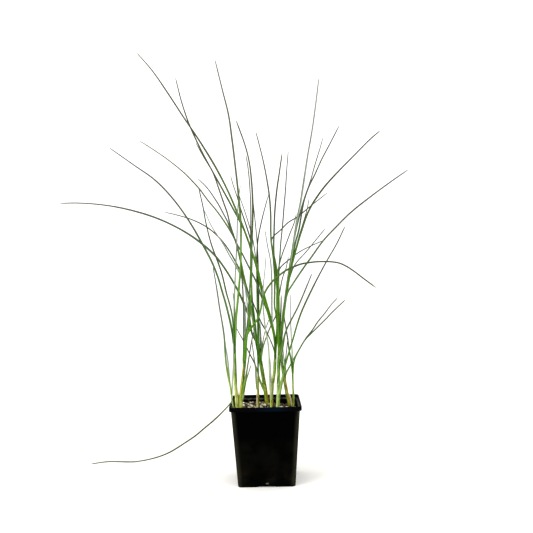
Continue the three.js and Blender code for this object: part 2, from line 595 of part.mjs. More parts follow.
// Gravel: rounded pebbles pressed together into one layer, drawn as a field of heights.
function makeGravel() {
  const draw = drawer(11);
  const reach = BODY_TOP_HALF + 2;
  const cells = Math.round((2 * reach) / GRAVEL_CELL);
  const step = (2 * reach) / cells;
  const low = SOIL_TOP + GAP;
  const pebbles = [];
  for (let i = 0; i < PEBBLE_COUNT; i++) {
    pebbles.push({
      x: (draw() * 2 - 1) * reach,
      y: (draw() * 2 - 1) * reach,
      radius: 1.9 + draw() * 1.9,
      lift: draw(),
    });
  }
  const height = (x, y) => {
    let best = GRAVEL_TOP - 1.2;
    for (const pebble of pebbles) {
      const d = Math.hypot(x - pebble.x, y - pebble.y) / pebble.radius;
      if (d < 1) {
        const top = GRAVEL_TOP + PEBBLE_RISE * (pebble.lift - 0.3) + Math.sqrt(1 - d * d) - 0.6;
        best = Math.max(best, top);
      }
    }
    return best + gravelRise(x, y);
  };
  const positions = [];
  const faces = [];
  const row = cells + 1;
  for (let j = 0; j <= cells; j++) {
    for (let i = 0; i <= cells; i++) {
      const x = -reach + i * step;
      const y = -reach + j * step;
      positions.push(x, y, height(x, y));
    }
  }
  for (let j = 0; j < cells; j++) {
    for (let i = 0; i < cells; i++) {
      const a = j * row + i;
      faces.push(a, a + 1, a + row + 1, a, a + row + 1, a + row);
    }
  }
  const edge = [];
  for (let i = 0; i < cells; i++) edge.push(i);
  for (let j = 0; j < cells; j++) edge.push(j * row + cells);
  for (let i = cells; i > 0; i--) edge.push(cells * row + i);
  for (let j = cells; j > 0; j--) edge.push(j * row);
  const base = positions.length / 3;
  for (const k of edge) positions.push(positions[3 * k], positions[3 * k + 1], low - 3);
  const centre = positions.length / 3;
  positions.push(0, 0, low - 3);
  for (let k = 0; k < edge.length; k++) {
    const next = (k + 1) % edge.length;
    faces.push(edge[k], base + k, base + next, edge[k], base + next, edge[next]);
    faces.push(base + k, centre, base + next);
  }
  const geometry = new THREE.BufferGeometry();
  geometry.setAttribute("position", new THREE.Float32BufferAttribute(positions, 3));
  geometry.setIndex(faces);
  const bounds = squareLoft([
    [cavityHalf(low) - GAP, BODY_CORNER - WALL - GAP, low],
    [cavityHalf(LEDGE - 1) - GAP, BODY_CORNER - WALL - GAP, LEDGE - 1],
  ]);
  return solid(geometry).intersect(bounds);
}

function makeSoil() {
  const low = BASE_TOP + GAP;
  return squareLoft([
    [cavityHalf(low) - GAP, FOOT_CORNER - WALL - GAP, low],
    [cavityHalf(SOIL_TOP) - GAP, BODY_CORNER - WALL - GAP, SOIL_TOP],
  ]);
}

// Assembly.
const plant = new THREE.Group();
plant.name = "potted_dwarf_cattail";

function place(name, body, material) {
  const mesh = new THREE.Mesh(geometryOf(body), material);
  mesh.name = name;
  plant.add(mesh);
}

place("pot", makePot(), COLOURS.pot_black);

const holes = Object.values(SHOOTS).map(stemHole);
holes.push(stemHole(SPROUT));
for (const sheath of Object.values(SHEATHS)) {
  holes.push(makeSheath(sheath, HOLE_GROW));
}
holes.push(makeHanging(HOLE_GROW));

let soil = makeSoil();
let gravel = makeGravel();
for (const hole of holes) {
  soil = soil.subtract(hole);
  gravel = gravel.subtract(hole);
}
place("soil", soil, COLOURS.soil);
place("gravel", gravel, COLOURS.gravel);

for (const [name, shoot] of Object.entries(SHOOTS)) place(name, makeShoot(shoot), COLOURS.leaf_green);
place("sprout", makeSprout(), COLOURS.leaf_pale);
place("hanging_leaf", makeHanging(0), COLOURS.leaf_green);

for (const [name, sheath] of Object.entries(SHEATHS)) {
  place(name, makeSheath(sheath, 0), name === "sheath_brown" ? COLOURS.sheath_old : COLOURS.sheath_dry);
}

export default plant;
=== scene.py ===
"""A dwarf cattail in a square plastic nursery pot, on a plain pale studio floor.

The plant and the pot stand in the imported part's frame. Lengths are millimetres, and make_piece turns
them into Blender's metres. The studio's own lengths are metres.
"""

import math
import random

import bpy
import numpy as np
from mathutils import Matrix, Vector


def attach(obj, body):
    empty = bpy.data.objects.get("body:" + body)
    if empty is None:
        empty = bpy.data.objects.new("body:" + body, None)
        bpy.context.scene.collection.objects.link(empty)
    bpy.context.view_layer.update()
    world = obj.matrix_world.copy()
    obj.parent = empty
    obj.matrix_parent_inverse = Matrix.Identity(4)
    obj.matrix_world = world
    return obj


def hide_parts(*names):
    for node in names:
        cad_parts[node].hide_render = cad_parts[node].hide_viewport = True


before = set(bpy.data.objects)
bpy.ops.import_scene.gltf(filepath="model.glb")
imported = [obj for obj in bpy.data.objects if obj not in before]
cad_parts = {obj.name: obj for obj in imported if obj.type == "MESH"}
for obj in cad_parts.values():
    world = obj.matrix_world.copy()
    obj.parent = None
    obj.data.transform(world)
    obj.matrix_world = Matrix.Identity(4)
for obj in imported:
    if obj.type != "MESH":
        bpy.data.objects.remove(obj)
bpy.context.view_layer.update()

MM = 0.001

# The camera, and the point that the leaves are drawn from.
EYE = np.array([4.8, -849.0, 257.0])
CAMERA_LENS = 44.13
CAMERA_SENSOR = 36.0
CAMERA_PITCH_DEG = 1.12
CAMERA_ROLL_DEG = -1.11
CAMERA_REACH = 50.0

# The studio, in metres: a floor that has no visible edge, an even white surround, and lamps.
# A lamp is its place, the point it faces, its size, its power in watts and its colour.
FLOOR_REACH = 30.0
SURROUND_STRENGTH = 1.12
LAMPS = {
    "key": [(-0.9, -0.9, 1.7), (0.0, 0.0, 0.1), 0.9, 11.0, (1.0, 0.985, 0.96)],
    "fill": [(1.2, -1.2, 1.0), (0.0, 0.0, 0.15), 0.9, 3.0, (0.94, 0.97, 1.0)],
}

# Seeds of the random draws. Each shoot and each sheath has the next one after the one before it.
SEEDS = {"gravel": 5, "shoots": 20, "sprout": 40, "hanging_leaf": 41, "sheaths": 42}

# The pot: a 9 cm square nursery pot with a collar around its rim.
POT_HEIGHT = 100.0
RIM_HALF = 45.0
RIM_CORNER = 6.2
COLLAR_UNDERSIDE = 94.4
COLLAR_WALL = 1.4
BODY_TOP_HALF = 42.75
BODY_FOOT_HALF = 35.7
BODY_CORNER = 5.4
FOOT_CORNER = 4.6
FOOT_RING = 1.4
WALL = 1.0
LEDGE = 95.4
BASE_UNDERSIDE = 2.2
BASE_TOP = 3.4
PAD_RADIUS = 8.0
PAD_REACH = 12.0
PAD_BOTTOM = 0.6
PAD_INTO_BASE = 0.6
DRAIN_RADIUS = 3.6
DRAIN_OFFSET = 20.0
NOTCH_HALF = 11.0
NOTCH_HEIGHT = 1.1
NOTCH_SLOPE = 3.0
CORNER_STEPS = 8
EDGE = 0.5
SMALL_EDGE = 0.3

# Where the pot's looks change: heights, and distances from its corners and its inner wall.
DULL_HEIGHTS = [64.0, 50.0]
STAINED_FOOT = [30.0, 2.0]
CORNER_HIGHLIGHT_SPAN = [7.5, 1.5]
COLLAR_SPAN = [94.2, 95.2]
LEDGE_PALE_FROM = [93.6, 94.3]
LEDGE_PALE_TO = [96.2, 95.5]
WALL_PALE_FROM = [80.0, 90.0]
WALL_PALE_TO = [97.5, 95.0]
COLLAR_BEYOND_WALL = 1.7
REFLECTION_X = 9.0
REFLECTION_SPAN = [26.0, 4.0]
PIP_AT = [0.6, 4.4]
PIP_SPAN = [1.3, 0.7]
NEAR_SIDE = [-30.0, -34.0]

# How much light the pot's black plastic throws back.
PLASTIC_SPECULAR = 0.012

# What the pot holds: soil, a bed of fines with pebbles, and the stems that stand in both.
SOIL_TOP = 84.0
GAP = 0.3
GRAVEL_TOP = 89.6
GRAVEL_RISE = 1.1
HOLLOW_DEPTH = 2.6
HOLLOW_X = [6.0, 18.0]
HOLLOW_Y = [-20.0, 20.0]
SWELL = 0.35
BED_CELLS = 44
BED_BELOW = 2.0
PEBBLE_TRIES = 9000
PEBBLE_SMALL = 1.4
PEBBLE_LARGE = 2.9
PEBBLE_ROOM = 1.35
PEBBLE_SPACING = 1.03
PEBBLE_OFF_STEM = 1.1
PEBBLE_SUNK = 0.45
PEBBLE_SCATTER = 1.5
PEBBLE_SIDES = 11
PEBBLE_LEVELS = 7
STEM_ROOM = 0.25
SHEATH_ROOM = 1.8
HANGING_ROOM = 1.6
ROOT_DEPTH = 68.0
ROOT_INWARD = 0.92
ROOT_BEND = 85.5
BURIED_SHARE = 0.8

# Leaves: thickness and width along a blade, and how its foot wraps round the stem. BLADE_WAVE is by how
# much a blade's width swells, and along what length.
LEAF_STEP = 3.2
LEAF_THICK = 1.0
TIP_THICK = 0.45
TIP_WIDTH = 1.3
TAPER_FROM = 0.45
POINT_LENGTH = 4.0
BLADE_FULLNESS = 1.14
BLADE_WAVE = [0.05, 17.0]
FOOT_SHARE = 0.72
DEPTH_CURVE = 1.35
WRAP_FOOT_DEG = 215.0
WRAP_BLADE_DEG = 40.0
WRAP_LENGTH = 38.0
TWIST_LENGTH = 55.0

# Stems: ovals a little flatter than wide. The innermost sheath has a share of the stem's half width at its
# foot, below its top and at its top. An outer sheath is how far up it reaches, its share of the half width
# and the side on which its slanted rim is lower. RIM_INNER is the size and the depth of the rim's inner wall.
STEM_SIDES = 20
STEM_STEP = 3.0
STEM_FLATNESS = 0.86
INNER_SHARES = [0.88, 0.76, 0.55]
OUTER_SHEATHS = [[1.0, 0.94, 1.0], [0.55, 1.0, -1.0]]
OUTER_TAPER = 0.08
RIM_LEAN = [2.2, 3.8]
RIM_LENGTH = 14.0
RIM_INNER = [[0.86, 0.0], [0.8, 3.0]]
SPROUT_STEP = 1.6
SPROUT_TIP_HALF = 0.12

# One entry for each shoot: depth of its root, half width of its stem, its stem line and its leaves.
# A leaf is [width, depth of its tip, turn at its foot, turn at its tip, points up to the tip].
# The points are [x, z] on the upright plane y = 0, as they look from EYE.
SHOOTS = {
    "shoot_a": {
        "y": -34,
        "half": 1.05,
        "stem": [[-41.3, 91], [-42.6, 97], [-43.6, 104], [-44.3, 111], [-45.2, 120], [-46.4, 130]],
        "leaves": [
            [2.1, -62, 20, 40, [[-44, 108], [-45.4, 120], [-47.4, 130], [-48.8, 140], [-50, 150], [-51, 165],
             [-51.5, 180], [-52.4, 190], [-53.8, 200], [-56.9, 220], [-59.5, 240], [-62.4, 260], [-65, 276]]],
            [2.1, -20, -30, -40, [[-43.8, 108], [-45.2, 120], [-46.6, 140], [-47.3, 150], [-48.4, 160],
             [-50, 170], [-51.6, 184]]],
            [1.9, -26, 20, 30, [[-43.2, 102], [-42.9, 114], [-42, 125.5], [-41.3, 133], [-40.5, 147],
             [-40.3, 162], [-40.5, 176]]],
        ],
    },
    "shoot_b": {
        "y": -14,
        "half": 2.2,
        "stem": [[-37.2, 89], [-37.3, 100], [-37.6, 110], [-38, 120], [-38.3, 135], [-38.5, 150],
            [-38.7, 165], [-38.7, 182]],
        "leaves": [
            [2.4, -84, 10, 30, [[-38.5, 172], [-36, 206], [-34, 224], [-32, 242], [-30, 262], [-28.5, 280],
             [-28, 300], [-27.5, 325], [-28.5, 349], [-30.5, 375], [-33, 402], [-37, 441], [-41, 473],
             [-48.5, 506], [-57.5, 546]]],
            [2.0, -19, 30, 40, [[-38.7, 170], [-38.4, 205], [-38, 225], [-36, 262], [-34, 292], [-32.5, 320],
             [-31.5, 345], [-29.5, 366], [-27, 381]]],
            [2.3, 2, 0, 35, [[-39, 150], [-39.8, 174], [-41.8, 192], [-44.6, 207], [-48.7, 225], [-53.6, 243],
             [-58.6, 261], [-66, 280.5], [-77, 302.5], [-90, 326.5], [-104.5, 349.5], [-121, 371],
             [-139.5, 390], [-166, 409.5], [-198, 433]]],
            [2.0, -74, -20, -35, [[-38.8, 158], [-39.4, 190], [-41, 210], [-42.8, 220], [-45.3, 230],
             [-48, 240], [-52.2, 260], [-54.8, 270], [-59.6, 284], [-66.5, 304], [-73, 332], [-77, 356],
             [-82, 379]]],
            [1.8, -8, 30, 40, [[-38.5, 165], [-37.6, 198], [-37.4, 215], [-38.3, 229], [-39.7, 242]]],
        ],
    },
    "shoot_c": {
        "y": -14,
        "half": 2.25,
        "stem": [[-31.9, 89], [-31.7, 103], [-30.9, 113], [-29.3, 124], [-27.9, 135], [-26.4, 146],
            [-25.5, 158], [-24.6, 172]],
        "leaves": [
            [1.9, -46, 30, 50, [[-30, 106], [-27, 120], [-23.9, 135], [-21.6, 148], [-19.1, 162],
             [-16.4, 177], [-13.2, 189], [-11.5, 198]]],
            [2.2, -66, 15, 20, [[-26.2, 150], [-24.8, 174], [-20.5, 190], [-18.4, 206], [-17, 225],
             [-15.4, 240], [-15.1, 265], [-14.5, 285], [-13.5, 306], [-12, 335], [-11.5, 360], [-12.5, 385],
             [-15, 410], [-20, 432], [-31.5, 466]]],
            [1.9, -30, 30, 40, [[-26.4, 148], [-25, 176], [-21.5, 197], [-19.2, 224], [-17.2, 250],
             [-16, 270], [-15, 310], [-14.2, 350], [-15, 380], [-17, 405], [-19.5, 421]]],
            [2.1, -92, 0, 20, [[-25.2, 150], [-23.6, 172], [-21.9, 185], [-18.9, 191], [-12.2, 200],
             [-7.4, 207], [-4, 217], [-1, 232], [4, 243.5], [13, 255], [22, 262.5], [30, 268], [40, 272.5],
             [50, 276], [60, 277.5], [70, 278.5], [80, 278.5], [90, 278], [100, 276], [110, 271], [120, 264],
             [130, 256], [147, 243]]],
            [2.1, -8, 25, 40, [[-27, 146], [-26.6, 182], [-26, 215], [-26.5, 240], [-28, 272], [-28.6, 300]]],
            [1.5, -24, 0, 10, [[-30.2, 100], [-27, 117], [-24.5, 127], [-22, 133.5], [-19.4, 141.5],
             [-17.3, 147.5]]],
            [1.6, -22, 0, 20, [[-25, 165], [-22.4, 188], [-20.7, 205], [-20.8, 219], [-22.9, 242],
             [-24.2, 252]]],
            [2.0, -16, 0, 20, [[-25.4, 160], [-24.6, 180], [-24.3, 204], [-24, 230]]],
        ],
    },
    "shoot_d": {
        "y": 13,
        "half": 1.45,
        "stem": [[-9.2, 92], [-9, 112], [-8.7, 135], [-8.6, 158]],
        "leaves": [
            [2.3, 34, 20, 40, [[-8.8, 128], [-8.8, 158], [-10, 180], [-12, 205], [-14.8, 232], [-15, 260],
             [-14, 285], [-14.4, 304], [-17, 315], [-22, 332], [-27.5, 349.5], [-32, 366], [-37, 382],
             [-40, 394]]],
            [2.1, 22, -10, -35, [[-8.8, 130], [-8.2, 165], [-8, 210], [-8, 258], [-7.4, 289], [-5.6, 309],
             [-1, 331], [5, 353], [9.5, 368]]],
            [1.8, 17, 40, 30, [[-8.7, 128], [-7.4, 165], [-6.4, 212], [-6, 258], [-6.2, 290], [-7.5, 315],
             [-9.5, 340], [-11.5, 362]]],
            [1.8, 30, 30, 40, [[-9.6, 108], [-11, 121], [-11.8, 140], [-13.6, 155], [-15.6, 173],
             [-16.2, 183]]],
        ],
    },
    "shoot_e": {
        "y": 32,
        "half": 2.8,
        "stem": [[2.2, 95.6], [1.2, 104], [0.5, 111], [-0.5, 119], [-2.1, 130], [-5, 149], [-7.6, 164],
            [-10.2, 178]],
        "leaves": [
            [2.1, 22, 20, 50, [[1.2, 108], [-3.6, 118], [-7.5, 129], [-10, 140], [-13.5, 149.5],
             [-19.5, 161.5], [-27, 178], [-33, 189], [-36.5, 196]]],
            [2.3, 80, 10, 30, [[-8, 163], [-12.6, 194], [-15, 214], [-19, 236], [-24.5, 260], [-29, 283],
             [-34.5, 306], [-38, 317], [-42, 331], [-45, 344.5], [-48.5, 355], [-51.5, 364], [-55.5, 376.5],
             [-63, 398], [-75, 419], [-85, 438]]],
            [2.1, 135, 0, 35, [[-7, 158], [-12.4, 190], [-15.6, 214], [-20, 238], [-25, 260], [-29.4, 283],
             [-34.5, 306], [-40, 318], [-50.5, 335.5], [-60, 349], [-70.5, 362], [-80, 375.5], [-90, 387],
             [-100, 397.5], [-120, 414.5], [-140, 429], [-158, 441]]],
            [1.9, 96, 40, 40, [[-5, 148], [-7, 172], [-6.6, 200], [-6.4, 250], [-9, 285], [-12.5, 310],
             [-16, 325], [-21.5, 344], [-27, 361], [-30.5, 371]]],
            [2.0, 50, -20, -35, [[-6.4, 155], [-11.6, 184], [-15, 208], [-21, 240], [-27.6, 259], [-34, 273],
             [-43.5, 290], [-52, 306], [-60, 318], [-66.5, 329], [-72, 342], [-77, 352]]],
            [2.1, 116, 10, 30, [[-6, 153], [-11, 182], [-14.4, 207], [-17, 222], [-20, 235], [-24, 250],
             [-27.5, 263], [-34.5, 279], [-44.5, 297], [-54, 310], [-70, 325], [-90, 336], [-111, 343],
             [-127, 347]]],
            [2.5, 66, 0, 20, [[-3, 137], [-7, 160], [-11, 177], [-15.6, 187], [-19.3, 209], [-23.2, 220],
             [-31.5, 240], [-45, 265], [-61, 288], [-80, 306], [-101, 321], [-126, 334.5], [-151, 344.5],
             [-183, 353.5], [-211, 358.5], [-240, 361], [-263, 361]]],
            [1.8, 40, 20, 35, [[-2.6, 135], [-4.6, 150], [-1.1, 170.5], [4.1, 185], [10.2, 199], [15, 208],
             [17.8, 218], [21.8, 242], [25.9, 260], [29.9, 270], [33.8, 287]]],
            [1.4, 36, 20, 40, [[-6.4, 156], [-4.4, 166], [0, 185], [2.4, 193.5], [7.2, 206]]],
            [2.6, 44, 0, 20, [[-5.6, 150], [-4.6, 166], [-4.6, 180], [-5.2, 202]]],
        ],
    },
    "shoot_f": {
        "y": 6,
        "half": 2.2,
        "stem": [[7.8, 91], [7.9, 102], [8.5, 110], [9.7, 120], [11.4, 130], [13, 142], [13.7, 155],
            [14.2, 172]],
        "leaves": [
            [1.9, 0, 20, 40, [[7, 98], [6.4, 112], [6, 128], [5.7, 145], [5.9, 158], [5.2, 171], [3.6, 182],
             [1.6, 195], [-0.3, 218], [-0.2, 243], [2.9, 271], [4.7, 289]]],
            [2.4, 20, 5, 25, [[13.8, 154], [14.4, 176], [11, 198], [4, 225], [-2, 248], [-7, 272], [-13, 291],
             [-21, 315], [-31, 342], [-45, 376], [-60, 406], [-80, 440], [-100, 471], [-120, 503],
             [-140, 533], [-160, 557]]],
            [2.2, -6, 30, 20, [[13.7, 150], [13.6, 178], [6, 210], [-3, 245], [-9, 275], [-15, 295],
             [-22, 318], [-34, 343], [-50, 374], [-68, 408], [-79, 430], [-92.5, 461], [-102, 491],
             [-109.5, 523]]],
            [2.0, 14, -10, 30, [[13.6, 148], [13.4, 174], [8.4, 204], [3, 220], [-3, 236], [-9, 254],
             [-16.5, 270], [-27, 292], [-34, 306], [-41.5, 324], [-45, 333.5], [-50, 343.5], [-55, 353.5],
             [-60, 362], [-70.5, 377.5], [-83.5, 391]]],
            [2.0, 10, 30, 30, [[12.2, 140], [14, 165], [13.6, 180], [11, 203], [10.7, 220], [11.2, 256],
             [10.1, 281], [6.6, 300.5], [3.8, 321]]],
            [2.1, 22, 20, 40, [[14.2, 150], [15.2, 165], [16.9, 190], [16.4, 207], [14.2, 223], [14.8, 241],
             [15, 262], [13.2, 290], [12, 300], [12.1, 308.6], [14.7, 312.8], [24.3, 321], [34.5, 330.7],
             [45.5, 337], [63.5, 351], [87, 369]]],
            [1.9, 12, -25, -35, [[12.7, 145], [15.2, 165], [17.8, 200], [18.6, 240], [18.9, 258], [20.6, 272],
             [25.8, 290], [29.8, 300], [36.5, 317], [42, 330], [45, 342]]],
            [1.8, 28, 15, 35, [[12.4, 143], [14.4, 165], [16.9, 200], [17.1, 220], [17.6, 240], [19, 257],
             [22, 270.5], [33, 281], [47.5, 291.5], [63.5, 299.5], [80.5, 306.5]]],
            [1.6, -8, 30, 40, [[7.8, 98], [7.9, 118], [7.6, 139], [7, 156]]],
            [1.8, -4, 20, 35, [[13.9, 150], [13.7, 162], [8.2, 177.5], [1.2, 192.5], [-3.1, 200], [-8, 212],
             [-12.8, 225], [-18.5, 238], [-24, 250]]],
        ],
    },
    "shoot_g": {
        "y": -6,
        "half": 2.45,
        "stem": [[15.7, 89.6], [16.4, 100], [17, 110], [17.3, 120], [17.6, 131], [18.2, 145], [18.9, 162],
            [19.4, 180]],
        "leaves": [
            [2.0, -44, 10, 30, [[17, 104], [19.7, 117.6], [24.4, 135.8], [28.4, 151], [33, 165.5],
             [37.8, 180], [42, 194], [47.2, 209], [52.4, 221], [67, 250], [82, 277], [97, 302],
             [108.5, 325]]],
            [1.9, -86, 0, 35, [[18.9, 152], [24, 172], [26.4, 183], [30, 193], [35, 202.5], [45.5, 222],
             [56, 245.5], [64, 264]]],
            [2.3, -60, 20, 35, [[19.2, 168], [20, 200], [19.4, 240], [18.6, 262], [17.1, 275], [14.6, 288],
             [11.8, 302], [11.2, 318], [11.5, 340], [10.5, 362], [8, 383], [3, 412], [-6, 451]]],
            [2.0, -84, -25, 20, [[19, 165], [18.6, 200], [18, 240], [16, 270], [14.8, 285], [14.6, 300],
             [15.5, 318], [16.5, 338], [18, 355], [20.5, 375], [24, 396], [28.2, 422]]],
            [2.0, -26, 30, 40, [[19.2, 162], [20, 200], [20.2, 255], [21, 272], [22.5, 288], [24, 305],
             [26.5, 325], [29, 350], [31.5, 374], [33.5, 398], [36.2, 425]]],
            [2.3, -48, 5, 25, [[19.3, 172], [25, 210], [31, 250], [38, 290], [43.5, 322], [46.5, 338],
             [50.5, 355], [54, 375], [58, 398], [62, 421], [67.5, 449], [72.5, 480], [78, 519]]],
            [2.3, -122, 0, 35, [[19.2, 166], [23.4, 190], [29, 230], [36.5, 270], [47.5, 308], [53, 324],
             [58, 338], [65, 352], [73, 364], [83.5, 377.5], [101, 396], [121.5, 416], [142, 436],
             [157, 448.5]]],
            [2.0, -74, 10, 20, [[19.2, 165], [23.4, 190], [26.4, 210], [28.3, 225], [31.6, 239], [39, 251],
             [51.6, 269], [64, 285.5], [79.5, 306], [95, 322], [115.5, 341.5], [141.5, 361.5], [169, 381],
             [193, 397]]],
            [1.8, -32, 35, 40, [[19, 158], [23, 185], [27, 215], [31.5, 245], [36, 262], [42, 275.5],
             [57, 292], [69, 306], [83, 322.5]]],
            [1.6, -14, 20, 40, [[17, 102], [20.4, 118], [23.2, 130], [25.6, 143], [28.6, 163], [30.2, 178]]],
            [2.0, -10, 10, 30, [[19.6, 168], [21, 195], [22.4, 215], [23.3, 237]]],
        ],
    },
    "shoot_h": {
        "y": 24,
        "half": 2.3,
        "stem": [[31.3, 94.6], [30, 100], [28, 109], [26.4, 120], [24.8, 130], [23.4, 140], [22.2, 150],
            [21.5, 158]],
        "leaves": [
            [1.9, 92, 20, 35, [[28.4, 108], [26.6, 120], [25.9, 128], [26.9, 133.4], [31.4, 142],
             [38.5, 154.5], [44.7, 164.8], [54, 179.5], [63, 190.5], [69.5, 200], [80, 212.5], [87, 221.5],
             [97, 232]]],
            [2.0, 118, 25, 35, [[23.4, 141], [21.4, 165], [25, 213], [33, 255], [40, 300], [48, 335],
             [55, 359], [62, 378], [65.5, 388], [69, 400], [72.5, 411], [76.5, 423], [82, 441]]],
            [2.3, 64, 5, 25, [[23, 143], [21.6, 168], [27, 220], [34.5, 260], [42, 300], [48, 321],
             [51.5, 340], [55.5, 359], [62, 376.5], [70, 392], [79, 411], [90, 431], [103.5, 456]]],
            [2.0, 36, -20, -35, [[22.8, 145], [22.2, 172], [23.6, 195], [30, 240], [37.5, 275], [44, 298],
             [48, 312], [52.5, 326], [57, 340], [60, 351], [62, 362]]],
            [1.6, 38, 20, 40, [[26, 120], [26.1, 133], [26.5, 142], [24.7, 158], [23.4, 178]]],
        ],
    },
    "shoot_i": {
        "y": 15,
        "half": 1.35,
        "stem": [[36.6, 93], [36.4, 110], [36.1, 125], [35.7, 140], [35, 150]],
        "leaves": [
            [1.9, 2, 10, 35, [[36.2, 130], [34.2, 152], [32, 165], [30.5, 179.5], [28.5, 193.5], [27, 204],
             [26, 215]]],
            [1.9, 22, 30, 40, [[36.1, 130], [36, 150], [35.8, 165], [35.2, 181], [34.7, 206], [34.9, 238]]],
            [1.9, -10, 20, 35, [[36.1, 130], [37.8, 148], [40.4, 156], [46, 166.5], [53, 177.5], [61, 185.5],
             [70, 194], [80, 203.5], [90, 213.5], [107, 229]]],
        ],
    },
}

# A young sprout between two of the shoots.
SPROUT = {"y": -6, "half": 1.15, "stem": [[-35.2, 90], [-35, 98], [-34.7, 106], [-34.4, 113.5]]}

# A leaf that hangs over the left rim: [x, z, y] as it looks from EYE.
# HANGING_FLOOR holds its end on the floor, as true [x, y, z].
HANGING_WIDTH = 2.0
HANGING_TURN_DEG = 40.0
HANGING_FULLNESS = 0.35
HANGING_FULL_RUN = [30.0, 70.0]
HANGING_ROOT = [-38.4, -29.5, 86]
HANGING = [
    [-40.8, 93, -29.5], [-42.6, 96.6, -29.5], [-44.3, 97.8, -30], [-45.8, 96.8, -30.5], [-47.4, 94.9, -30],
    [-50.3, 91.8, -26], [-55.4, 86.7, -18], [-60.6, 81.6, -10], [-70.1, 73.3, 5], [-79.5, 65.9, 18],
    [-91, 56.6, 32], [-105, 47.5, 46], [-124.5, 36, 60], [-139, 30.4, 69], [-155, 26.6, 77],
    [-170, 24.6, 82],
]
HANGING_FLOOR = [[-206, 88, 0.9], [-228, 90, 0.8], [-249, 80, 0.8]]

# Old dry sheaths, each a papery strip against a stem: width, turn, material slot and [x, y, z] points.
SHEATH_STEP = 1.2
SHEATH_TIP_WIDTH = 1.5
SHEATH_THICK = 0.5
SHEATH_TORN = 2.6
SHEATHS = {
    "sheath_cream": {
        "width": 2.6,
        "turn": 35,
        "slot": "sheath_dry",
        "points": [[-11.1, 9.6, 78], [-11, 9.6, 92], [-10.8, 9.6, 102], [-10.7, 9.8, 109],
                   [-10.9, 10.2, 114]],
    },
    "sheath_straw": {
        "width": 3.2,
        "turn": -30,
        "slot": "sheath_dry",
        "points": [[35.2, 20.2, 78], [34.6, 20.2, 88], [34, 20.2, 94], [33.1, 20.2, 99], [31.4, 20, 105.5]],
    },
    "sheath_brown": {
        "width": 3.0,
        "turn": 45,
        "slot": "sheath_old",
        "points": [[10.5, 3.5, 78], [10.5, 3.5, 88], [10.5, 3.6, 94], [10.3, 3.7, 100.6]],
    },
}

# Colours of each shoot: at its foot, along its blades and towards its tips.
SHOOT_COLOURS = {
    "shoot_a": ["#8fae62", "#748a6c", "#5f6760"],
    "shoot_b": ["#cfdc8c", "#56872a", "#4a4e42"],
    "shoot_c": ["#d6df80", "#4f7f1a", "#434838"],
    "shoot_d": ["#a6ad34", "#457a28", "#434a3c"],
    "shoot_e": ["#8fa626", "#4f8314", "#414734"],
    "shoot_f": ["#bccd6a", "#5a8a18", "#434838"],
    "shoot_g": ["#bcd68e", "#4b7c18", "#41483a"],
    "shoot_h": ["#8b962c", "#487c20", "#444a3e"],
    "shoot_i": ["#aecb6a", "#387820", "#4d5248"],
    "sprout": ["#969f1c", "#b2c240", "#b2c240"],
}

# Most blades take their shoot's green. The rest are slate green, or pale and greyish.
SLATE = ["#7a9c3e", "#48693a", "#454b44"]
PALE = ["#a8b878", "#8fa17e", "#858b84"]

# One letter for each leaf of the table: g its shoot's green, d a darker shade of it, s slate, p pale.
LEAF_LOOKS = {
    "shoot_a": "spp",
    "shoot_b": "gpssp",
    "shoot_c": "sgsdsppp",
    "shoot_d": "gggp",
    "shoot_e": "sggspdsssp",
    "shoot_f": "pgdspdggps",
    "shoot_g": "dsgdspgsgsg",
    "shoot_h": "ssdgp",
    "shoot_i": "dps",
}
LOOK_OF_LETTER = {"g": 0, "d": 0, "s": 1, "p": 2}
DARK_SHARE = 0.25

# Heights between which the colour goes from that of the foot to that of the blade.
FOOT_COLOUR_TO = 86.0
BLADE_COLOUR_FROM = 155.0
SLATE_COLOUR_FROM = 190.0

# A dried edge down a stem: side (1 left, -1 right), heights that it runs between, colour.
DRIED_EDGES = {
    "shoot_c": [1, 112, 142, "#c8a850"],
    "shoot_e": [-1, 92, 108, "#9c7438"],
    "shoot_h": [-1, 94, 120, "#b8924c"],
}


def linear(hex_colour):
    """A screen colour such as "#80a040" as the linear values that a shader takes."""
    values = []
    for k in (1, 3, 5):
        c = int(hex_colour[k:k + 2], 16) / 255
        values.append(c / 12.92 if c <= 0.04045 else ((c + 0.055) / 1.055) ** 2.4)
    return (*values, 1.0)


def smooth_step(x):
    """0 below 0, 1 above 1, and a soft ramp between."""
    t = np.clip(x, 0.0, 1.0)
    return t * t * (3 - 2 * t)


def passed(value, span):
    """0 before the span's first place, 1 beyond its second, and a soft ramp between."""
    return smooth_step((value - span[0]) / (span[1] - span[0]))


def unit(v):
    return v / np.linalg.norm(v, axis=-1, keepdims=True)


def seen(x, z, y):
    """The point at depth y that looks, from EYE, as if it were at [x, z] on the plane y = 0."""
    k = (y - EYE[1]) / -EYE[1]
    return np.array([EYE[0] + (x - EYE[0]) * k, y, EYE[2] + (z - EYE[2]) * k])


def turned(v, axis, angle):
    """Vectors v turned about the unit vectors axis by angle, one angle for each."""
    c = np.cos(angle)[:, None]
    s = np.sin(angle)[:, None]
    return v * c + np.cross(axis, v) * s + axis * np.sum(axis * v, axis=1, keepdims=True) * (1 - c)


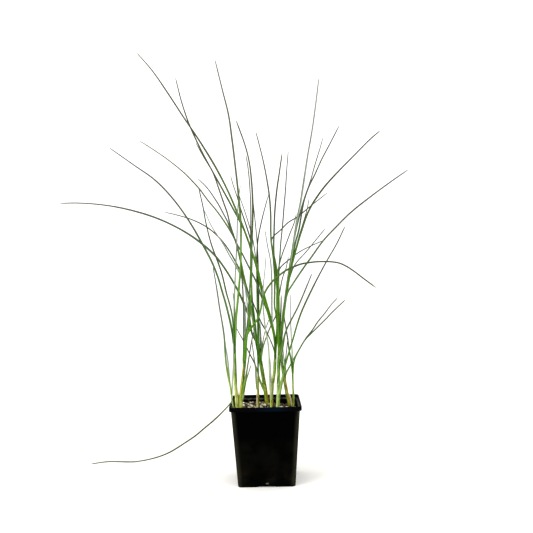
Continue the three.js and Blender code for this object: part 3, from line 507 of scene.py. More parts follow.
def spline_span(points, k, t):
    """Places t (0 to 1) on span k of a centripetal Catmull-Rom curve."""
    p1, p2 = points[k], points[k + 1]
    p0 = points[k - 1] if k > 0 else 2 * p1 - p2
    p3 = points[k + 2] if k + 2 < len(points) else 2 * p2 - p1
    d0, d1, d2 = (math.sqrt(np.linalg.norm(b - a)) for a, b in ((p0, p1), (p1, p2), (p2, p3)))
    m1 = ((p1 - p0) / d0 - (p2 - p0) / (d0 + d1) + (p2 - p1) / d1) * d1
    m2 = ((p2 - p1) / d1 - (p3 - p1) / (d1 + d2) + (p3 - p2) / d2) * d1
    t = t[:, None]
    cubic = (2 * p1 - 2 * p2 + m1 + m2) * t**3 + (3 * p2 - 3 * p1 - 2 * m1 - m2) * t**2
    return cubic + m1 * t + p1


class Line:
    """A smooth line through points, read at stops about step apart.

    at: the stops, along: their directions, run: length up to each, share: the same as a share of the
    whole, knot: place among the given points.
    """

    def __init__(self, points, step):
        points = [np.array(p, float) for p in points]
        at, knot = [], []
        for k in range(len(points) - 1):
            count = max(2, round(np.linalg.norm(points[k + 1] - points[k]) / step))
            t = np.arange(count) / count
            at.append(spline_span(points, k, t))
            knot.append(k + t)
        self.at = np.vstack([*at, points[-1]])
        self.knot = np.concatenate([*knot, [len(points) - 1.0]])
        self.along = unit(np.gradient(self.at, axis=0))
        steps = np.linalg.norm(np.diff(self.at, axis=0), axis=1)
        self.run = np.concatenate([[0.0], np.cumsum(steps)])
        self.share = self.run / self.run[-1]

    def facing(self):
        """Unit vectors across the line, as seen from EYE, and out of it towards EYE."""
        across = unit(np.cross(self.along, EYE - self.at))
        return across, unit(np.cross(across, self.along))


def skin(rings, count, base=0):
    """Faces between closed rings of count points each, and over both ends. base: the first point's number."""
    faces = []
    for row in range(base, base + (rings - 1) * count, count):
        for i in range(count):
            j = (i + 1) % count
            faces.append((row + i, row + j, row + count + j, row + count + i))
    last = base + (rings - 1) * count
    return faces + [tuple(reversed(range(base, base + count))), tuple(range(last, last + count))]


def place_object(name, data):
    """A new object in the scene."""
    thing = bpy.data.objects.new(name, data)
    bpy.context.scene.collection.objects.link(thing)
    return thing


class Surface:
    """Vertices, faces, looks and two UV layers of one piece, gathered ring by ring in millimetres."""

    def __init__(self):
        self.points = []
        self.faces = []
        self.looks = []
        self.blade = []
        self.mark = []

    def add_points(self, points, blade, mark):
        """Adds points with the UV values of each: blade has one pair per point, and mark is one for all."""
        self.points.extend(points)
        self.blade.extend(blade)
        self.mark.extend([mark] * len(points))

    def add_faces(self, faces, look):
        self.faces.extend(faces)
        self.looks.extend([look] * len(faces))

    def add_rings(self, rings, across, share, tone, kind=0.0, look=0):
        """Skins closed rings and closes both ends. across: one value per ring point. share: one per ring."""
        count = len(rings[0])
        self.add_faces(skin(len(rings), count, len(self.points)), look)
        for ring, s in zip(rings, share):
            self.add_points(ring, [(a, s) for a in across], (tone, kind))

    def make_piece(self, name, materials, node):
        """Makes the Blender object, which rides on the root body and stands for a CAD node."""
        mesh = bpy.data.meshes.new(name)
        mesh.from_pydata((np.array(self.points) * MM).tolist(), [], self.faces)
        for material in materials:
            mesh.materials.append(material)
        mesh.polygons.foreach_set("material_index", self.looks)
        mesh.polygons.foreach_set("use_smooth", [True] * len(self.faces))
        corners = np.empty(len(mesh.loops), np.int32)
        mesh.loops.foreach_get("vertex_index", corners)
        for layer_name, values in (("blade", self.blade), ("mark", self.mark)):
            layer = mesh.uv_layers.new(name=layer_name)
            layer.data.foreach_set("uv", np.array(values, np.float32)[corners].ravel())
        mesh.validate()
        mesh.update()
        piece = place_object(name, mesh)
        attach(piece, "root")
        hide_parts(node)
        return piece


# Materials.


class Value:
    """A shader node's output. Arithmetic with it adds Math nodes to the same material."""

    def __init__(self, look, socket):
        self.look = look
        self.socket = socket

    def __add__(self, other):
        return self.look.math("ADD", self, other)

    def __sub__(self, other):
        return self.look.math("SUBTRACT", self, other)

    def __rsub__(self, other):
        return self.look.math("SUBTRACT", other, self)

    def __mul__(self, other):
        return self.look.math("MULTIPLY", self, other)

    def __abs__(self):
        return self.look.math("ABSOLUTE", self)


class Look:
    """One procedural material: adds shader nodes and joins them to its main shader."""

    def __init__(self, name):
        self.material = bpy.data.materials.new(name)
        self.material.use_nodes = True
        self.tree = self.material.node_tree
        self.main = self.tree.nodes["Principled BSDF"]

    def join(self, inputs, node):
        """Sets sockets of a node by name or number: to another node's output, a colour or a plain value."""
        for name, value in inputs.items():
            if isinstance(value, Value):
                self.tree.links.new(value.socket, node.inputs[name])
            else:
                node.inputs[name].default_value = linear(value) if isinstance(value, str) else value

    def read(self, node, output, inputs):
        """An output of a node, whose inputs are set first."""
        self.join(inputs, node)
        return Value(self, node.outputs[output])

    def add(self, kind, output, inputs):
        return self.read(self.tree.nodes.new(kind), output, inputs)

    def place(self):
        return self.add("ShaderNodeTexCoord", "Object", {})

    def parts(self, vector):
        """The x, y and z of a vector."""
        x = self.add("ShaderNodeSeparateXYZ", "X", {"Vector": vector})
        return [Value(self, socket) for socket in x.socket.node.outputs]

    def layer(self, name):
        """The two values of a UV layer."""
        node = self.tree.nodes.new("ShaderNodeUVMap")
        node.uv_map = name
        return self.parts(self.read(node, "UV", {}))[:2]

    def stretched(self, vector, scale):
        return self.add("ShaderNodeMapping", "Vector", {"Vector": vector, "Scale": scale})

    def noise(self, vector, scale, detail=3.0, roughness=0.55):
        inputs = {"Vector": vector, "Scale": scale, "Detail": detail, "Roughness": roughness}
        return self.add("ShaderNodeTexNoise", "Fac", inputs)

    def streaks(self, across, along, seed, detail=3.0):
        """Noise drawn out along a leaf or a stem."""
        vector = self.add("ShaderNodeCombineXYZ", "Vector", {"X": across, "Y": along, "Z": seed})
        return self.noise(vector, 1.0, detail)

    def ramp(self, value, low, high, out_low=0.0, out_high=1.0):
        """value taken softly from low..high to out_low..out_high, held at both ends."""
        node = self.tree.nodes.new("ShaderNodeMapRange")
        node.interpolation_type = "SMOOTHSTEP"
        inputs = {"Value": value, "From Min": low, "From Max": high, "To Min": out_low, "To Max": out_high}
        return self.read(node, "Result", inputs)

    def over(self, length, span):
        """0 to 1 where a length passes over the span, which is in millimetres."""
        return self.ramp(length, span[0] * MM, span[1] * MM)

    def vary(self, noise, low, high):
        """The middle range of a noise, taken to low..high."""
        return self.ramp(noise, 0.3, 0.7, low, high)

    def fade(self, share, none, full):
        """A number that goes from none to full as share goes from 0 to 1."""
        return self.ramp(share, 0.0, 1.0, none, full)

    def math(self, operation, *values):
        node = self.tree.nodes.new("ShaderNodeMath")
        node.operation = operation
        return self.read(node, "Value", dict(enumerate(values)))

    def mix(self, factor, a, b):
        """Colour a turned into colour b by factor."""
        node = self.tree.nodes.new("ShaderNodeMix")
        node.data_type = "RGBA"
        return self.read(node, 2, {0: factor, 6: a, 7: b})

    def stops(self, value, colours):
        """A colour read from [position, colour] stops."""
        colour = self.add("ShaderNodeValToRGB", "Color", {"Fac": value})
        steps = colour.socket.node.color_ramp.elements
        while len(steps) < len(colours):
            steps.new(0.5)
        for step, (position, stop) in zip(steps, colours):
            step.position = position
            step.color = linear(stop)
        return colour

    def shade(self, colour, value, hue=0.5, saturation=1.0):
        inputs = {"Color": colour, "Value": value, "Hue": hue, "Saturation": saturation}
        return self.add("ShaderNodeHueSaturation", "Color", inputs)

    def finish(self, colour, roughness, relief, depth, specular):
        """Joins colour, roughness and a relief of the given depth in millimetres."""
        bump = self.add("ShaderNodeBump", "Normal", {"Height": relief, "Distance": depth * MM})
        inputs = {"Base Color": colour, "Roughness": roughness, "Specular IOR Level": specular}
        self.join({**inputs, "Normal": bump}, self.main)
        return self.material


def plant_material(name, colours, blade_from=BLADE_COLOUR_FROM, dried_edge=None):
    """Leaf and stem: pale at the foot, greener above, duller towards the tips, with fine lines along it, a
    painted lit side and, on a stem, painted shade at its edges.
    """
    foot, blade, tip = colours
    look = Look(name)
    across, share = look.layer("blade")
    tone, kind = look.layer("mark")
    height = look.parts(look.place())[2]
    colour = look.mix(look.over(height, [FOOT_COLOUR_TO, blade_from]), foot, blade)
    # On a leaf the share along it dulls the colour. On a stem it only marks the thin edge of a sheath.
    leafy = 1.0 - kind
    colour = look.mix(look.ramp(share, 0.12, 0.72) * leafy, colour, tip)
    colour = look.mix(look.ramp(share, 0.96, 0.995) * 0.6, colour, "#8b8a7c")
    # Lines that run along the blade, and slow blotches.
    drift = share * 7.0
    lines = look.streaks(across * 5.0, drift, tone * 40.0)
    blotch = look.noise(look.place(), 75.0)
    brightness = look.vary(lines, 0.6, 1.28) * look.vary(blotch, 0.88, 1.1) * look.fade(tone, 0.8, 1.16)
    # Painted shade: a stem's rounded edges, where it turns away, are painted darker than its middle, and so
    # are its darkest lines.
    off_middle = abs(across)
    edge_shade = look.ramp(off_middle, 0.3, 0.9) * kind
    deep = look.ramp(lines, 0.46, 0.32) * kind
    brightness = brightness * look.fade(edge_shade, 1.12, 0.66) * look.fade(deep, 1.0, 0.62)
    # Each blade and stem is painted lighter on one side, as painted light falling on it, and each stem has
    # broad bands down it.
    broad = look.streaks(across * 1.5, share * 2.0, tone * 60.0, 1.0)
    bands = look.ramp(broad, 0.4, 0.6) * kind
    brightness = brightness * look.ramp(across, -0.25, 0.25, 0.86, 1.2) * look.fade(bands, 1.0, 0.56)
    saturation = look.ramp(brightness, 0.5, 1.1, 1.3, 0.96)
    colour = look.shade(colour, brightness, look.fade(tone, 0.505, 0.485), saturation)
    # Pale streaks down the stems, and a pale rib down the middle of each blade face, which is also a painted
    # highlight along the blade.
    pale_lines = look.streaks(across * 4.0, drift, tone * 90.0)
    colour = look.mix(look.ramp(pale_lines, 0.52, 0.66, 0.0, 0.5) * kind, colour, "#dce4a6")
    rib_and_highlight = look.ramp(off_middle, 0.02, 0.2, 1.0, 0.0) * leafy
    colour = look.mix(rib_and_highlight * 0.22, colour, "#b4cc62")
    if dried_edge:
        side, low, high, dried = dried_edge
        beside = look.ramp(across * side, 0.1, 0.6) * kind
        between = look.over(height, [low - 6, low]) * look.over(height, [high + 8, high])
        colour = look.mix(beside * between, colour, dried)
    return look.finish(colour, look.vary(blotch, 0.36, 0.56), lines, 0.12, 0.12)


def papery_material(name, pale, dark, stain):
    """Dry sheath: straw with darker lines along it and stained blotches."""
    look = Look(name)
    across, share = look.layer("blade")
    lines = look.streaks(across * 7.0, share * 5.0, 3.0, 5.0)
    blotch = look.noise(look.place(), 160.0, 4.0)
    colour = look.mix(look.ramp(lines, 0.35, 0.68), pale, dark)
    colour = look.mix(look.ramp(blotch, 0.52, 0.72), colour, stain)
    return look.finish(colour, look.vary(blotch, 0.65, 0.9), lines, 0.2, 0.25)


def hanging_material():
    """The leaf that hangs down: olive, browner at its edges and its tip."""
    look = Look("hanging_leaf_olive")
    across, share = look.layer("blade")
    lines = look.streaks(across * 5.0, share * 16.0, 9.0)
    blotch = look.noise(look.place(), 60.0, 4.0)
    colour = look.mix(look.ramp(share, 0.02, 0.25), "#5f6a32", "#484f2a")
    colour = look.mix(look.ramp(share, 0.55, 0.97), colour, "#5f6352")
    colour = look.mix(look.ramp(abs(across), 0.35, 1.0) * 0.6, colour, "#3c4226")
    colour = look.mix(look.ramp(blotch, 0.55, 0.75, 0.0, 0.5), colour, "#54482c")
    colour = look.shade(colour, look.vary(lines, 0.8, 1.18))
    return look.finish(colour, look.vary(blotch, 0.42, 0.66), lines, 0.14, 0.1)


def pot_pale_streaks(look, place, height, collar, inner_gap):
    """Pale grey: along the ledge inside the collar, and in streaks on the wall under it."""
    inside = look.over(inner_gap + collar * (COLLAR_BEYOND_WALL * MM), [0.0, 0.4])
    streak = look.noise(look.stretched(place, (260.0, 260.0, 60.0)), 1.0, 3.0)
    ledge = look.over(height, LEDGE_PALE_FROM) * look.over(height, LEDGE_PALE_TO)
    wall = look.over(height, WALL_PALE_FROM) * look.over(height, WALL_PALE_TO)
    ledge = ledge * look.ramp(streak, 0.42, 0.6, 0.25, 0.9)
    wall = wall * look.ramp(streak, 0.56, 0.7, 0.0, 0.5)
    return look.math("MAXIMUM", ledge, wall) * inside


def pot_pip_glint(look, x, y, height):
    """A small pip in the middle of the near side, just above the foot, twice as wide as high: raised in the
    relief and painted pale as a glint.
    """
    pip_x = (x - PIP_AT[0] * MM) * 0.5
    pip_z = height - PIP_AT[1] * MM
    away = look.math("SQRT", pip_x * pip_x + pip_z * pip_z)
    return look.over(away, PIP_SPAN) * look.over(y, NEAR_SIDE)


def pot_material():
    """Black moulded plastic: blackest high on its flat sides, dull at its foot, pale grey on its inner ledge,
    with painted highlights at its corners, a painted collar reflection and a painted glint on a pip.
    """
    look = Look("black_plastic")
    place = look.place()
    x, y, height = look.parts(place)
    beside_x, beside_y = abs(x), abs(y)
    slope = (BODY_TOP_HALF - BODY_FOOT_HALF) / COLLAR_UNDERSIDE
    reach = height * slope + BODY_FOOT_HALF * MM
    cloud = look.noise(place, 42.0, 5.0, 0.62)
    grain = look.noise(place, 900.0, 2.0)
    scuff = look.noise(look.stretched(place, (40.0, 40.0, 420.0)), 1.0, 4.0)
    # Dull olive on the lower part, with scuffed patches, and painted olive highlights down the rounded
    # corners.
    dull = look.over(height, DULL_HEIGHTS) * look.ramp(cloud, 0.36, 0.62, 0.06, 0.42)
    colour = look.mix(dull, "#010101", "#161611")
    # Painted highlights: a lighter olive strip down each rounded corner.
    corner = look.over(reach - look.math("MINIMUM", beside_x, beside_y), CORNER_HIGHLIGHT_SPAN)
    colour = look.mix(corner * look.ramp(cloud, 0.3, 0.6, 0.4, 1.0), colour, "#2e2e25")
    stain = look.over(height, STAINED_FOOT) * look.ramp(cloud, 0.5, 0.72, 0.0, 0.3)
    colour = look.mix(stain, colour, "#3c2f22")
    # The collar is a shade lighter and cooler than the body, and on its near side, right of the middle, it
    # has a painted cool reflection.
    collar = look.over(height, COLLAR_SPAN)
    painted_reflection = look.over(abs(x - REFLECTION_X * MM), REFLECTION_SPAN) * look.over(y, [0.0, -30.0])
    colour = look.mix(collar, colour, "#08080a")
    colour = look.mix(collar * painted_reflection, colour, "#08131f")
    inner_gap = reach - WALL / 2 * MM - look.math("MAXIMUM", beside_x, beside_y)
    colour = look.mix(pot_pale_streaks(look, place, height, collar, inner_gap), colour, "#5d5d54")
    # Painted glint: a pale spot on the small pip above the foot.
    mark = pot_pip_glint(look, x, y, height)
    colour = look.mix(mark, colour, "#595954")
    roughness = look.vary(scuff, 0.3, 0.5) + dull * 0.4
    return look.finish(colour, roughness, grain + scuff * 0.6 + mark * 4.0, 0.025, PLASTIC_SPECULAR)


def pebble_material():
    """Washed gravel: each pebble has its own tone, from brown over tan and beige to cream, with specks."""
    look = Look("gravel_pebbles")
    tone, shade = look.layer("mark")
    place = look.place()
    colour = look.stops(tone, [
        [0.0, "#2a241a"], [0.25, "#564c35"], [0.45, "#8e8466"],
        [0.65, "#bdb393"], [0.85, "#e2dac2"], [1.0, "#f6f1e6"],
    ])
    speck = look.noise(place, 1500.0, 3.0, 0.6)
    vein = look.noise(place, 420.0, 4.0, 0.6)
    colour = look.shade(colour, look.fade(shade, 0.72, 1.12) * look.vary(vein, 0.82, 1.12))
    colour = look.mix(look.ramp(speck, 0.6, 0.7, 0.0, 0.5), colour, "#5b4a39")
    return look.finish(colour, look.vary(vein, 0.62, 0.88), speck, 0.1, 0.3)


def soil_material():
    """Dark potting soil with lighter fibres and grains."""
    look = Look("potting_soil")
    place = look.place()
    crumb = look.noise(place, 380.0, 6.0, 0.7)
    fibre = look.noise(look.stretched(place, (150.0, 900.0, 500.0)), 1.0, 4.0)
    colour = look.stops(crumb, [[0.25, "#100c08"], [0.5, "#241b13"], [0.75, "#463826"]])
    colour = look.mix(look.ramp(fibre, 0.6, 0.72, 0.0, 0.5), colour, "#7d674a")
    return look.finish(colour, look.vary(crumb, 0.8, 0.98), crumb, 0.9, 0.2)


def floor_material():
    """Pale studio floor, with the faintest mottling."""
    look = Look("studio_floor")
    cloud = look.noise(look.place(), 9.0)
    colour = look.mix(look.vary(cloud, 0.0, 1.0), "#f3f1ec", "#f7f5f1")
    return look.finish(colour, look.vary(cloud, 0.8, 0.92), cloud, 0.05, 0.1)


# Plant.

# A blade's section from one edge over its rounded back to the other edge, and back over its face.
# Each stop is [place across, thickness outwards from the middle].
SECTION = [[-1.0, 0.0], [-0.82, 0.3], [-0.5, 0.46], [0.0, 0.56], [0.5, 0.46], [0.82, 0.3], [1.0, 0.0],
           [0.66, -0.16], [0.3, -0.2], [0.0, -0.14], [-0.3, -0.2], [-0.66, -0.16]]
SECTION_PLACES = [place for place, _ in SECTION]


def rings_round(line, *parts):
    """Rings of points round a line. A part is how far they lie out and the unit vectors they lie along."""
    return list(line.at[:, None] + sum(far[..., None] * way[:, None] for far, way in parts))


def blade_rings(line, half, thick, wrap, turn, back_off, hollow=1.0):
    """Rings of a blade that is bent round its hollow side by the angle wrap and turned by the angle turn.

    back_off: how far its middle stands back from the line, which is what lays a sheath round its stem.
    hollow: 1 if the hollow side faces EYE before the turn, -1 if it faces away.
    """
    across, facing = (turned(v, line.along, turn) for v in line.facing())
    places, outs = np.array(SECTION).T
    angle = np.outer(wrap, places) / 2
    radius = (2 * half / wrap)[:, None]
    reach = radius + np.outer(thick, outs)
    sideways = reach * np.sin(angle)
    inwards = hollow * (radius - reach * np.cos(angle) - back_off[:, None])
    return rings_round(line, [sideways, across], [inwards, facing])


def blade_form(line, width):
    """Half widths of a blade that narrows to a short point, and its thicknesses."""
    late = np.maximum(0.0, (line.share - TAPER_FROM) / (1 - TAPER_FROM))
    point = np.clip((line.run[-1] - line.run) / POINT_LENGTH, 0.05, 1.0) ** 0.6
    half = (TIP_WIDTH + (width - TIP_WIDTH) * (1 - late**1.5)) / 2 * point
    thick = (TIP_THICK + (LEAF_THICK - TIP_THICK) * (1 - line.share)) * np.clip(point, 0.3, 1.0)
    return half, thick


def leaf_line(shoot, leaf):
    tip_depth, points = leaf[1], leaf[4]
    last = len(points) - 1
    depth = [shoot["y"] + (tip_depth - shoot["y"]) * (k / last) ** DEPTH_CURVE for k in range(last + 1)]
    return Line([seen(x, z, y) for (x, z), y in zip(points, depth)], LEAF_STEP)


def outward(line):
    """The direction in which a leaf leaves its stem, square to its first stretch."""
    ahead = line.at[line.run <= TWIST_LENGTH][-1] - line.at[0]
    start = line.along[0]
    side = ahead - start * np.dot(ahead, start)
    if np.linalg.norm(side) < 0.3:
        side = np.cross(start, [0.0, 1.0, 0.0])
    return side / np.linalg.norm(side)


def leaf_turn(line, turn_foot, turn_tip):
    """How far a leaf is turned at each stop: its foot faces its stem, and above that the table says."""
    facing = line.facing()[1]
    turn = np.radians(turn_foot + (turn_tip - turn_foot) * line.share)
    away = outward(line)
    first = turned(facing[:1], line.along[:1], turn[:1])[0]
    if np.dot(first, away) > 0:
        turn = turn + math.pi
        first = -first
    swing = math.atan2(np.dot(np.cross(first, -away), line.along[0]), np.dot(first, -away))
    return turn + swing * (1 - smooth_step(line.run / TWIST_LENGTH))


def add_leaf(surface, shoot, leaf, letter, draw):
    """A blade whose foot is a sheath round the stem, and which turns on its way up as the table says."""
    width, _, turn_foot, turn_tip, _ = leaf
    line = leaf_line(shoot, leaf)
    tone = draw.random() * (DARK_SHARE if letter == "d" else 1.0)
    blade, thick = blade_form(line, width)
    wave, wave_length = BLADE_WAVE
    blade = blade * BLADE_FULLNESS * (1 + wave * np.sin(line.run / wave_length + 9 * draw.random()))
    open_up = smooth_step(line.run / WRAP_LENGTH)
    # The foot is a thin sheath just inside the stem, and starts a little narrower.
    sheath_radius = shoot["half"] * FOOT_SHARE * (0.7 + 0.3 * smooth_step(line.run / 6))
    wrap_foot = math.radians(WRAP_FOOT_DEG)
    wrap = wrap_foot + (math.radians(WRAP_BLADE_DEG) * (1 - 0.6 * line.share) - wrap_foot) * open_up
    half = sheath_radius * wrap_foot / 2 * (1 - open_up) + blade * open_up
    thick = thick * (0.45 + 0.55 * open_up)
    turn = leaf_turn(line, turn_foot, turn_tip)
    rings = blade_rings(line, half, thick, wrap, turn, sheath_radius * (1 - open_up))
    surface.add_rings(rings, SECTION_PLACES, line.share, tone, look=LOOK_OF_LETTER[letter])


def buried(line):
    """1 above the gravel, and less inside the soil, where a stem stands in its hole with air round it."""
    return BURIED_SHARE + (1 - BURIED_SHARE) * passed(line.at[:, 2], [SOIL_TOP - 2, SOIL_TOP + 3])


def stem_points(shoot):
    """A stem's points: down into the soil, a little inwards, then along its line."""
    above = [seen(x, z, shoot["y"]) for x, z in shoot["stem"]]
    foot = above[0]
    end = np.array([foot[0] * ROOT_INWARD, foot[1] * ROOT_INWARD, ROOT_DEPTH])
    return [end, np.array([foot[0], foot[1], ROOT_BEND]), *above]


def add_tube(surface, line, half, tone, lean=0.0, toward=1.0):
    """An oval tube. With a lean its upper rim is cut at a slant, lower on one side, and turns inwards."""
    across, facing = line.facing()
    angles = np.arange(STEM_SIDES) / STEM_SIDES * 2 * math.pi
    near_rim = smooth_step(1 - (line.run[-1] - line.run) / RIM_LENGTH)
    wide = np.outer(half, np.cos(angles))
    deep = np.outer(half, -STEM_FLATNESS * np.sin(angles))
    shift = np.outer(near_rim, lean * (toward * np.cos(angles) - 1))
    rings = rings_round(line, [wide, across], [deep, facing], [shift, line.along])
    share = list(line.share)
    if lean:
        # The rim turns over into a thin inner wall.
        rim, centre = rings[-1], line.at[-1]
        middle = centre + np.outer(np.sum((rim - centre) * line.along[-1], axis=1), line.along[-1])
        rings += [middle + (rim - middle) * size - line.along[-1] * down for size, down in RIM_INNER]
        share += [1.0, 0.9]
    fold = 1 - 2 * np.abs(angles / math.pi - 1)
    surface.add_rings(rings, fold, share, tone, kind=1.0)


def part_of(points, last_knot):
    """The first points of a line, up to a place between two of them."""
    whole = int(math.floor(last_knot))
    rest = last_knot - whole
    kept = list(points[:whole + 1])
    if rest > 0.02:
        kept.append(points[whole] + (points[whole + 1] - points[whole]) * rest)
    return kept


def add_stem(surface, shoot, draw):
    """Nested sheaths: each outer one ends lower, with a slanted rim, and the innermost reaches the top."""
    points = stem_points(shoot)
    last = len(points) - 1
    inner = Line(points, STEM_STEP)
    inner_half = np.interp(inner.knot, [0, last - 1, last], INNER_SHARES)
    add_tube(surface, inner, shoot["half"] * inner_half * buried(inner), draw.random())
    cut = last - 1
    for reach, size, toward in OUTER_SHEATHS:
        top = 2 + (cut - 2) * reach + 0.3 * draw.random()
        layer = Line(part_of(points, top), STEM_STEP)
        half = shoot["half"] * size * (1 - OUTER_TAPER * (layer.knot / cut) ** 3) * buried(layer)
        tone = draw.random()
        lean = RIM_LEAN[0] + (RIM_LEAN[1] - RIM_LEAN[0]) * draw.random()
        add_tube(surface, layer, half, tone, lean, toward)


def make_shoot(name, shoot, others, draw):
    """A stem with its leaves. others: the slate and the pale material, which all shoots share."""
    surface = Surface()
    add_stem(surface, shoot, draw)
    for leaf, letter in zip(shoot["leaves"], LEAF_LOOKS[name], strict=True):
        add_leaf(surface, shoot, leaf, letter, draw)
    green = plant_material(name + "_green", SHOOT_COLOURS[name], dried_edge=DRIED_EDGES.get(name))
    surface.make_piece(name + "_leaves", [green, *others], name)


def make_sprout(draw):
    """A young pointed shoot, still closed."""
    surface = Surface()
    line = Line(stem_points(SPROUT), SPROUT_STEP)
    up = np.clip((line.knot - 2) / (line.knot[-1] - 2), 0.0, 1.0)
    half = np.maximum(SPROUT_TIP_HALF, SPROUT["half"] * (1 - up**2.2))
    add_tube(surface, line, half, draw.random())
    material = plant_material("sprout_green", SHOOT_COLOURS["sprout"])
    surface.make_piece("young_sprout", [material], "sprout")


def make_hanging_leaf(draw):
    """The long leaf that comes over the left rim and ends on the floor."""
    x, y, z = HANGING_ROOT
    points = [[x, y, ROOT_DEPTH + 12], [x, y, z]]
    points += [seen(px, pz, py) for px, pz, py in HANGING]
    points += HANGING_FLOOR
    line = Line(points, LEAF_STEP)
    half, thick = blade_form(line, HANGING_WIDTH)
    half = half * (1 + HANGING_FULLNESS * passed(line.run, HANGING_FULL_RUN))
    wrap = np.radians(70 - 40 * line.share)
    flat = np.zeros(len(half))
    surface = Surface()
    rings = blade_rings(line, half, thick, wrap, flat + math.radians(HANGING_TURN_DEG), flat)
    surface.add_rings(rings, SECTION_PLACES, line.share, draw.random())
    surface.make_piece("hanging_leaf_blade", [hanging_material()], "hanging_leaf")


def make_sheath(name, sheath, material, draw):
    """A dry papery strip, curled round its stem, torn along its upper end."""
    line = Line(sheath["points"], SHEATH_STEP)
    width = SHEATH_TIP_WIDTH + (sheath["width"] - SHEATH_TIP_WIDTH) * (1 - line.share**2.2)
    curled = passed(line.at[:, 2], [SOIL_TOP + 1, SOIL_TOP + 7])
    half = width / 2 * (1 + 0.07 * np.sin(line.run / 3.1)) * (BURIED_SHARE + (1 - BURIED_SHARE) * curled)
    wrap = np.radians(25 + (95 - 60 * line.share) * curled)
    flat = np.zeros(len(half))
    turn = flat + math.radians(sheath["turn"])
    rings = blade_rings(line, half, flat + SHEATH_THICK, wrap, turn, flat, hollow=-1.0)
    torn = [SHEATH_TORN * math.sin(7 * place) * draw.random() for place in SECTION_PLACES]
    for k, near in enumerate(smooth_step((line.share - 0.8) / 0.2)):
        rings[k] = [p + line.along[k] * (cut - 1.2) * near for p, cut in zip(rings[k], torn)]
    surface = Surface()
    surface.add_rings(rings, SECTION_PLACES, line.share, draw.random())
    surface.make_piece(name + "_paper", [material], name)


# Pot and what it holds.


def side_stops():
    """Places along one straight side of the pot, closer together where the foot's notch begins and ends."""
    edges = [NOTCH_HALF + NOTCH_SLOPE * d for d in (-1.0, -0.5, 0.0, 0.5)]
    return [-s for s in reversed(edges)] + [0.0] + edges


def square_ring(half, corner, z):
    """A rounded square at height z, counter-clockwise from above."""
    straight = half - corner
    side = []
    for step in range(CORNER_STEPS + 1):
        angle = -math.pi / 4 + (step / CORNER_STEPS - 0.5) * math.pi / 2
        side.append((straight + corner * math.cos(angle), -straight + corner * math.sin(angle)))
    side += [(half, t) for t in side_stops()]
    ring = []
    for c, s in ((1, 0), (0, 1), (-1, 0), (0, -1)):
        ring += [np.array([c * x - s * y, s * x + c * y, z]) for x, y in side]
    return ring


def notch(points, amount):
    """The ring with the middle of each side lifted, which leaves the pot on its four corners."""
    for point in points:
        along_side, outwards = sorted(np.abs(point[:2]))
        if outwards > BODY_FOOT_HALF - 6:
            point[2] += amount * (1 - smooth_step((along_side - NOTCH_HALF + 2) / NOTCH_SLOPE))
    return points


def wall_half(z):
    """Half width of the pot's body at height z, on the outside."""
    return BODY_FOOT_HALF + (BODY_TOP_HALF - BODY_FOOT_HALF) * z / COLLAR_UNDERSIDE


def wall_corner(z):
    return FOOT_CORNER + (BODY_CORNER - FOOT_CORNER) * z / COLLAR_UNDERSIDE


def rings_at(half, corner, stops):
    """Rings of one rounded square, as [half, corner, z]. Each stop is [how much wider, z]."""
    return [[half + wider, corner + wider, z] for wider, z in stops]


def foot_profile():
    """The pot's foot as [half, corner, z, share of the notch], from its underside round to its outside."""
    lower = BODY_FOOT_HALF - FOOT_RING
    lower_corner = FOOT_CORNER - FOOT_RING
    return [
        [lower - 8, FOOT_CORNER - 2, BASE_UNDERSIDE, 0.0],
        [lower - SMALL_EDGE, FOOT_CORNER - 1.6, BASE_UNDERSIDE, 0.0],
        [lower, lower_corner, BASE_UNDERSIDE - SMALL_EDGE, 0.2],
        [lower, lower_corner, 0.15, 1.0],
        [lower + SMALL_EDGE, lower_corner + SMALL_EDGE, 0.0, 1.0],
        [BODY_FOOT_HALF - EDGE, FOOT_CORNER - EDGE, 0.0, 1.0],
        [BODY_FOOT_HALF - 0.1, FOOT_CORNER - 0.1, SMALL_EDGE, 1.0],
        [wall_half(1.0), wall_corner(1.0), 1.0, 0.85],
        [wall_half(3.0), wall_corner(3.0), 3.0, 0.2],
    ]


def body_profile():
    """The rest of the pot's wall as [half, corner, z]: up its outside, over the rim and down to its floor."""
    rim_top = POT_HEIGHT - SMALL_EDGE
    rim = [[-EDGE, COLLAR_UNDERSIDE], [0.0, COLLAR_UNDERSIDE + EDGE], [0.0, POT_HEIGHT - EDGE],
           [-SMALL_EDGE / 2, POT_HEIGHT - SMALL_EDGE / 2], [-EDGE, POT_HEIGHT]]
    hole = [[SMALL_EDGE, POT_HEIGHT], [0.0, rim_top], [0.0, LEDGE + SMALL_EDGE], [-SMALL_EDGE, LEDGE]]
    return [
        *[[wall_half(z), wall_corner(z), z] for z in (6.0, 30.0, 60.0, 88.0, 93.2)],
        [wall_half(94.0) + 0.35, BODY_CORNER + SMALL_EDGE, COLLAR_UNDERSIDE],
        *rings_at(RIM_HALF, RIM_CORNER, rim),
        *rings_at(RIM_HALF - COLLAR_WALL, RIM_CORNER - COLLAR_WALL, hole),
        *rings_at(BODY_TOP_HALF - WALL, BODY_CORNER - WALL, [[0.4, LEDGE]]),
        *[[wall_half(z) - WALL, wall_corner(z) - WALL, z] for z in (94.4, 70.0, 40.0, 12.0)],
        *rings_at(wall_half(3.7) - WALL, FOOT_CORNER - WALL, [[0.0, BASE_TOP + SMALL_EDGE]]),
        *rings_at(wall_half(BASE_TOP) - WALL, FOOT_CORNER - WALL, [[-SMALL_EDGE, BASE_TOP]]),
    ]


def cut_with(piece, tool, operation):
    """Cuts or joins another closed body, and deletes it."""
    change = piece.modifiers.new("cut", "BOOLEAN")
    change.object = tool
    change.operation = operation
    change.solver = "EXACT"
    dg = bpy.context.evaluated_depsgraph_get()
    made = bpy.data.meshes.new_from_object(piece.evaluated_get(dg))
    piece.modifiers.clear()
    piece.data = made
    bpy.data.objects.remove(tool)


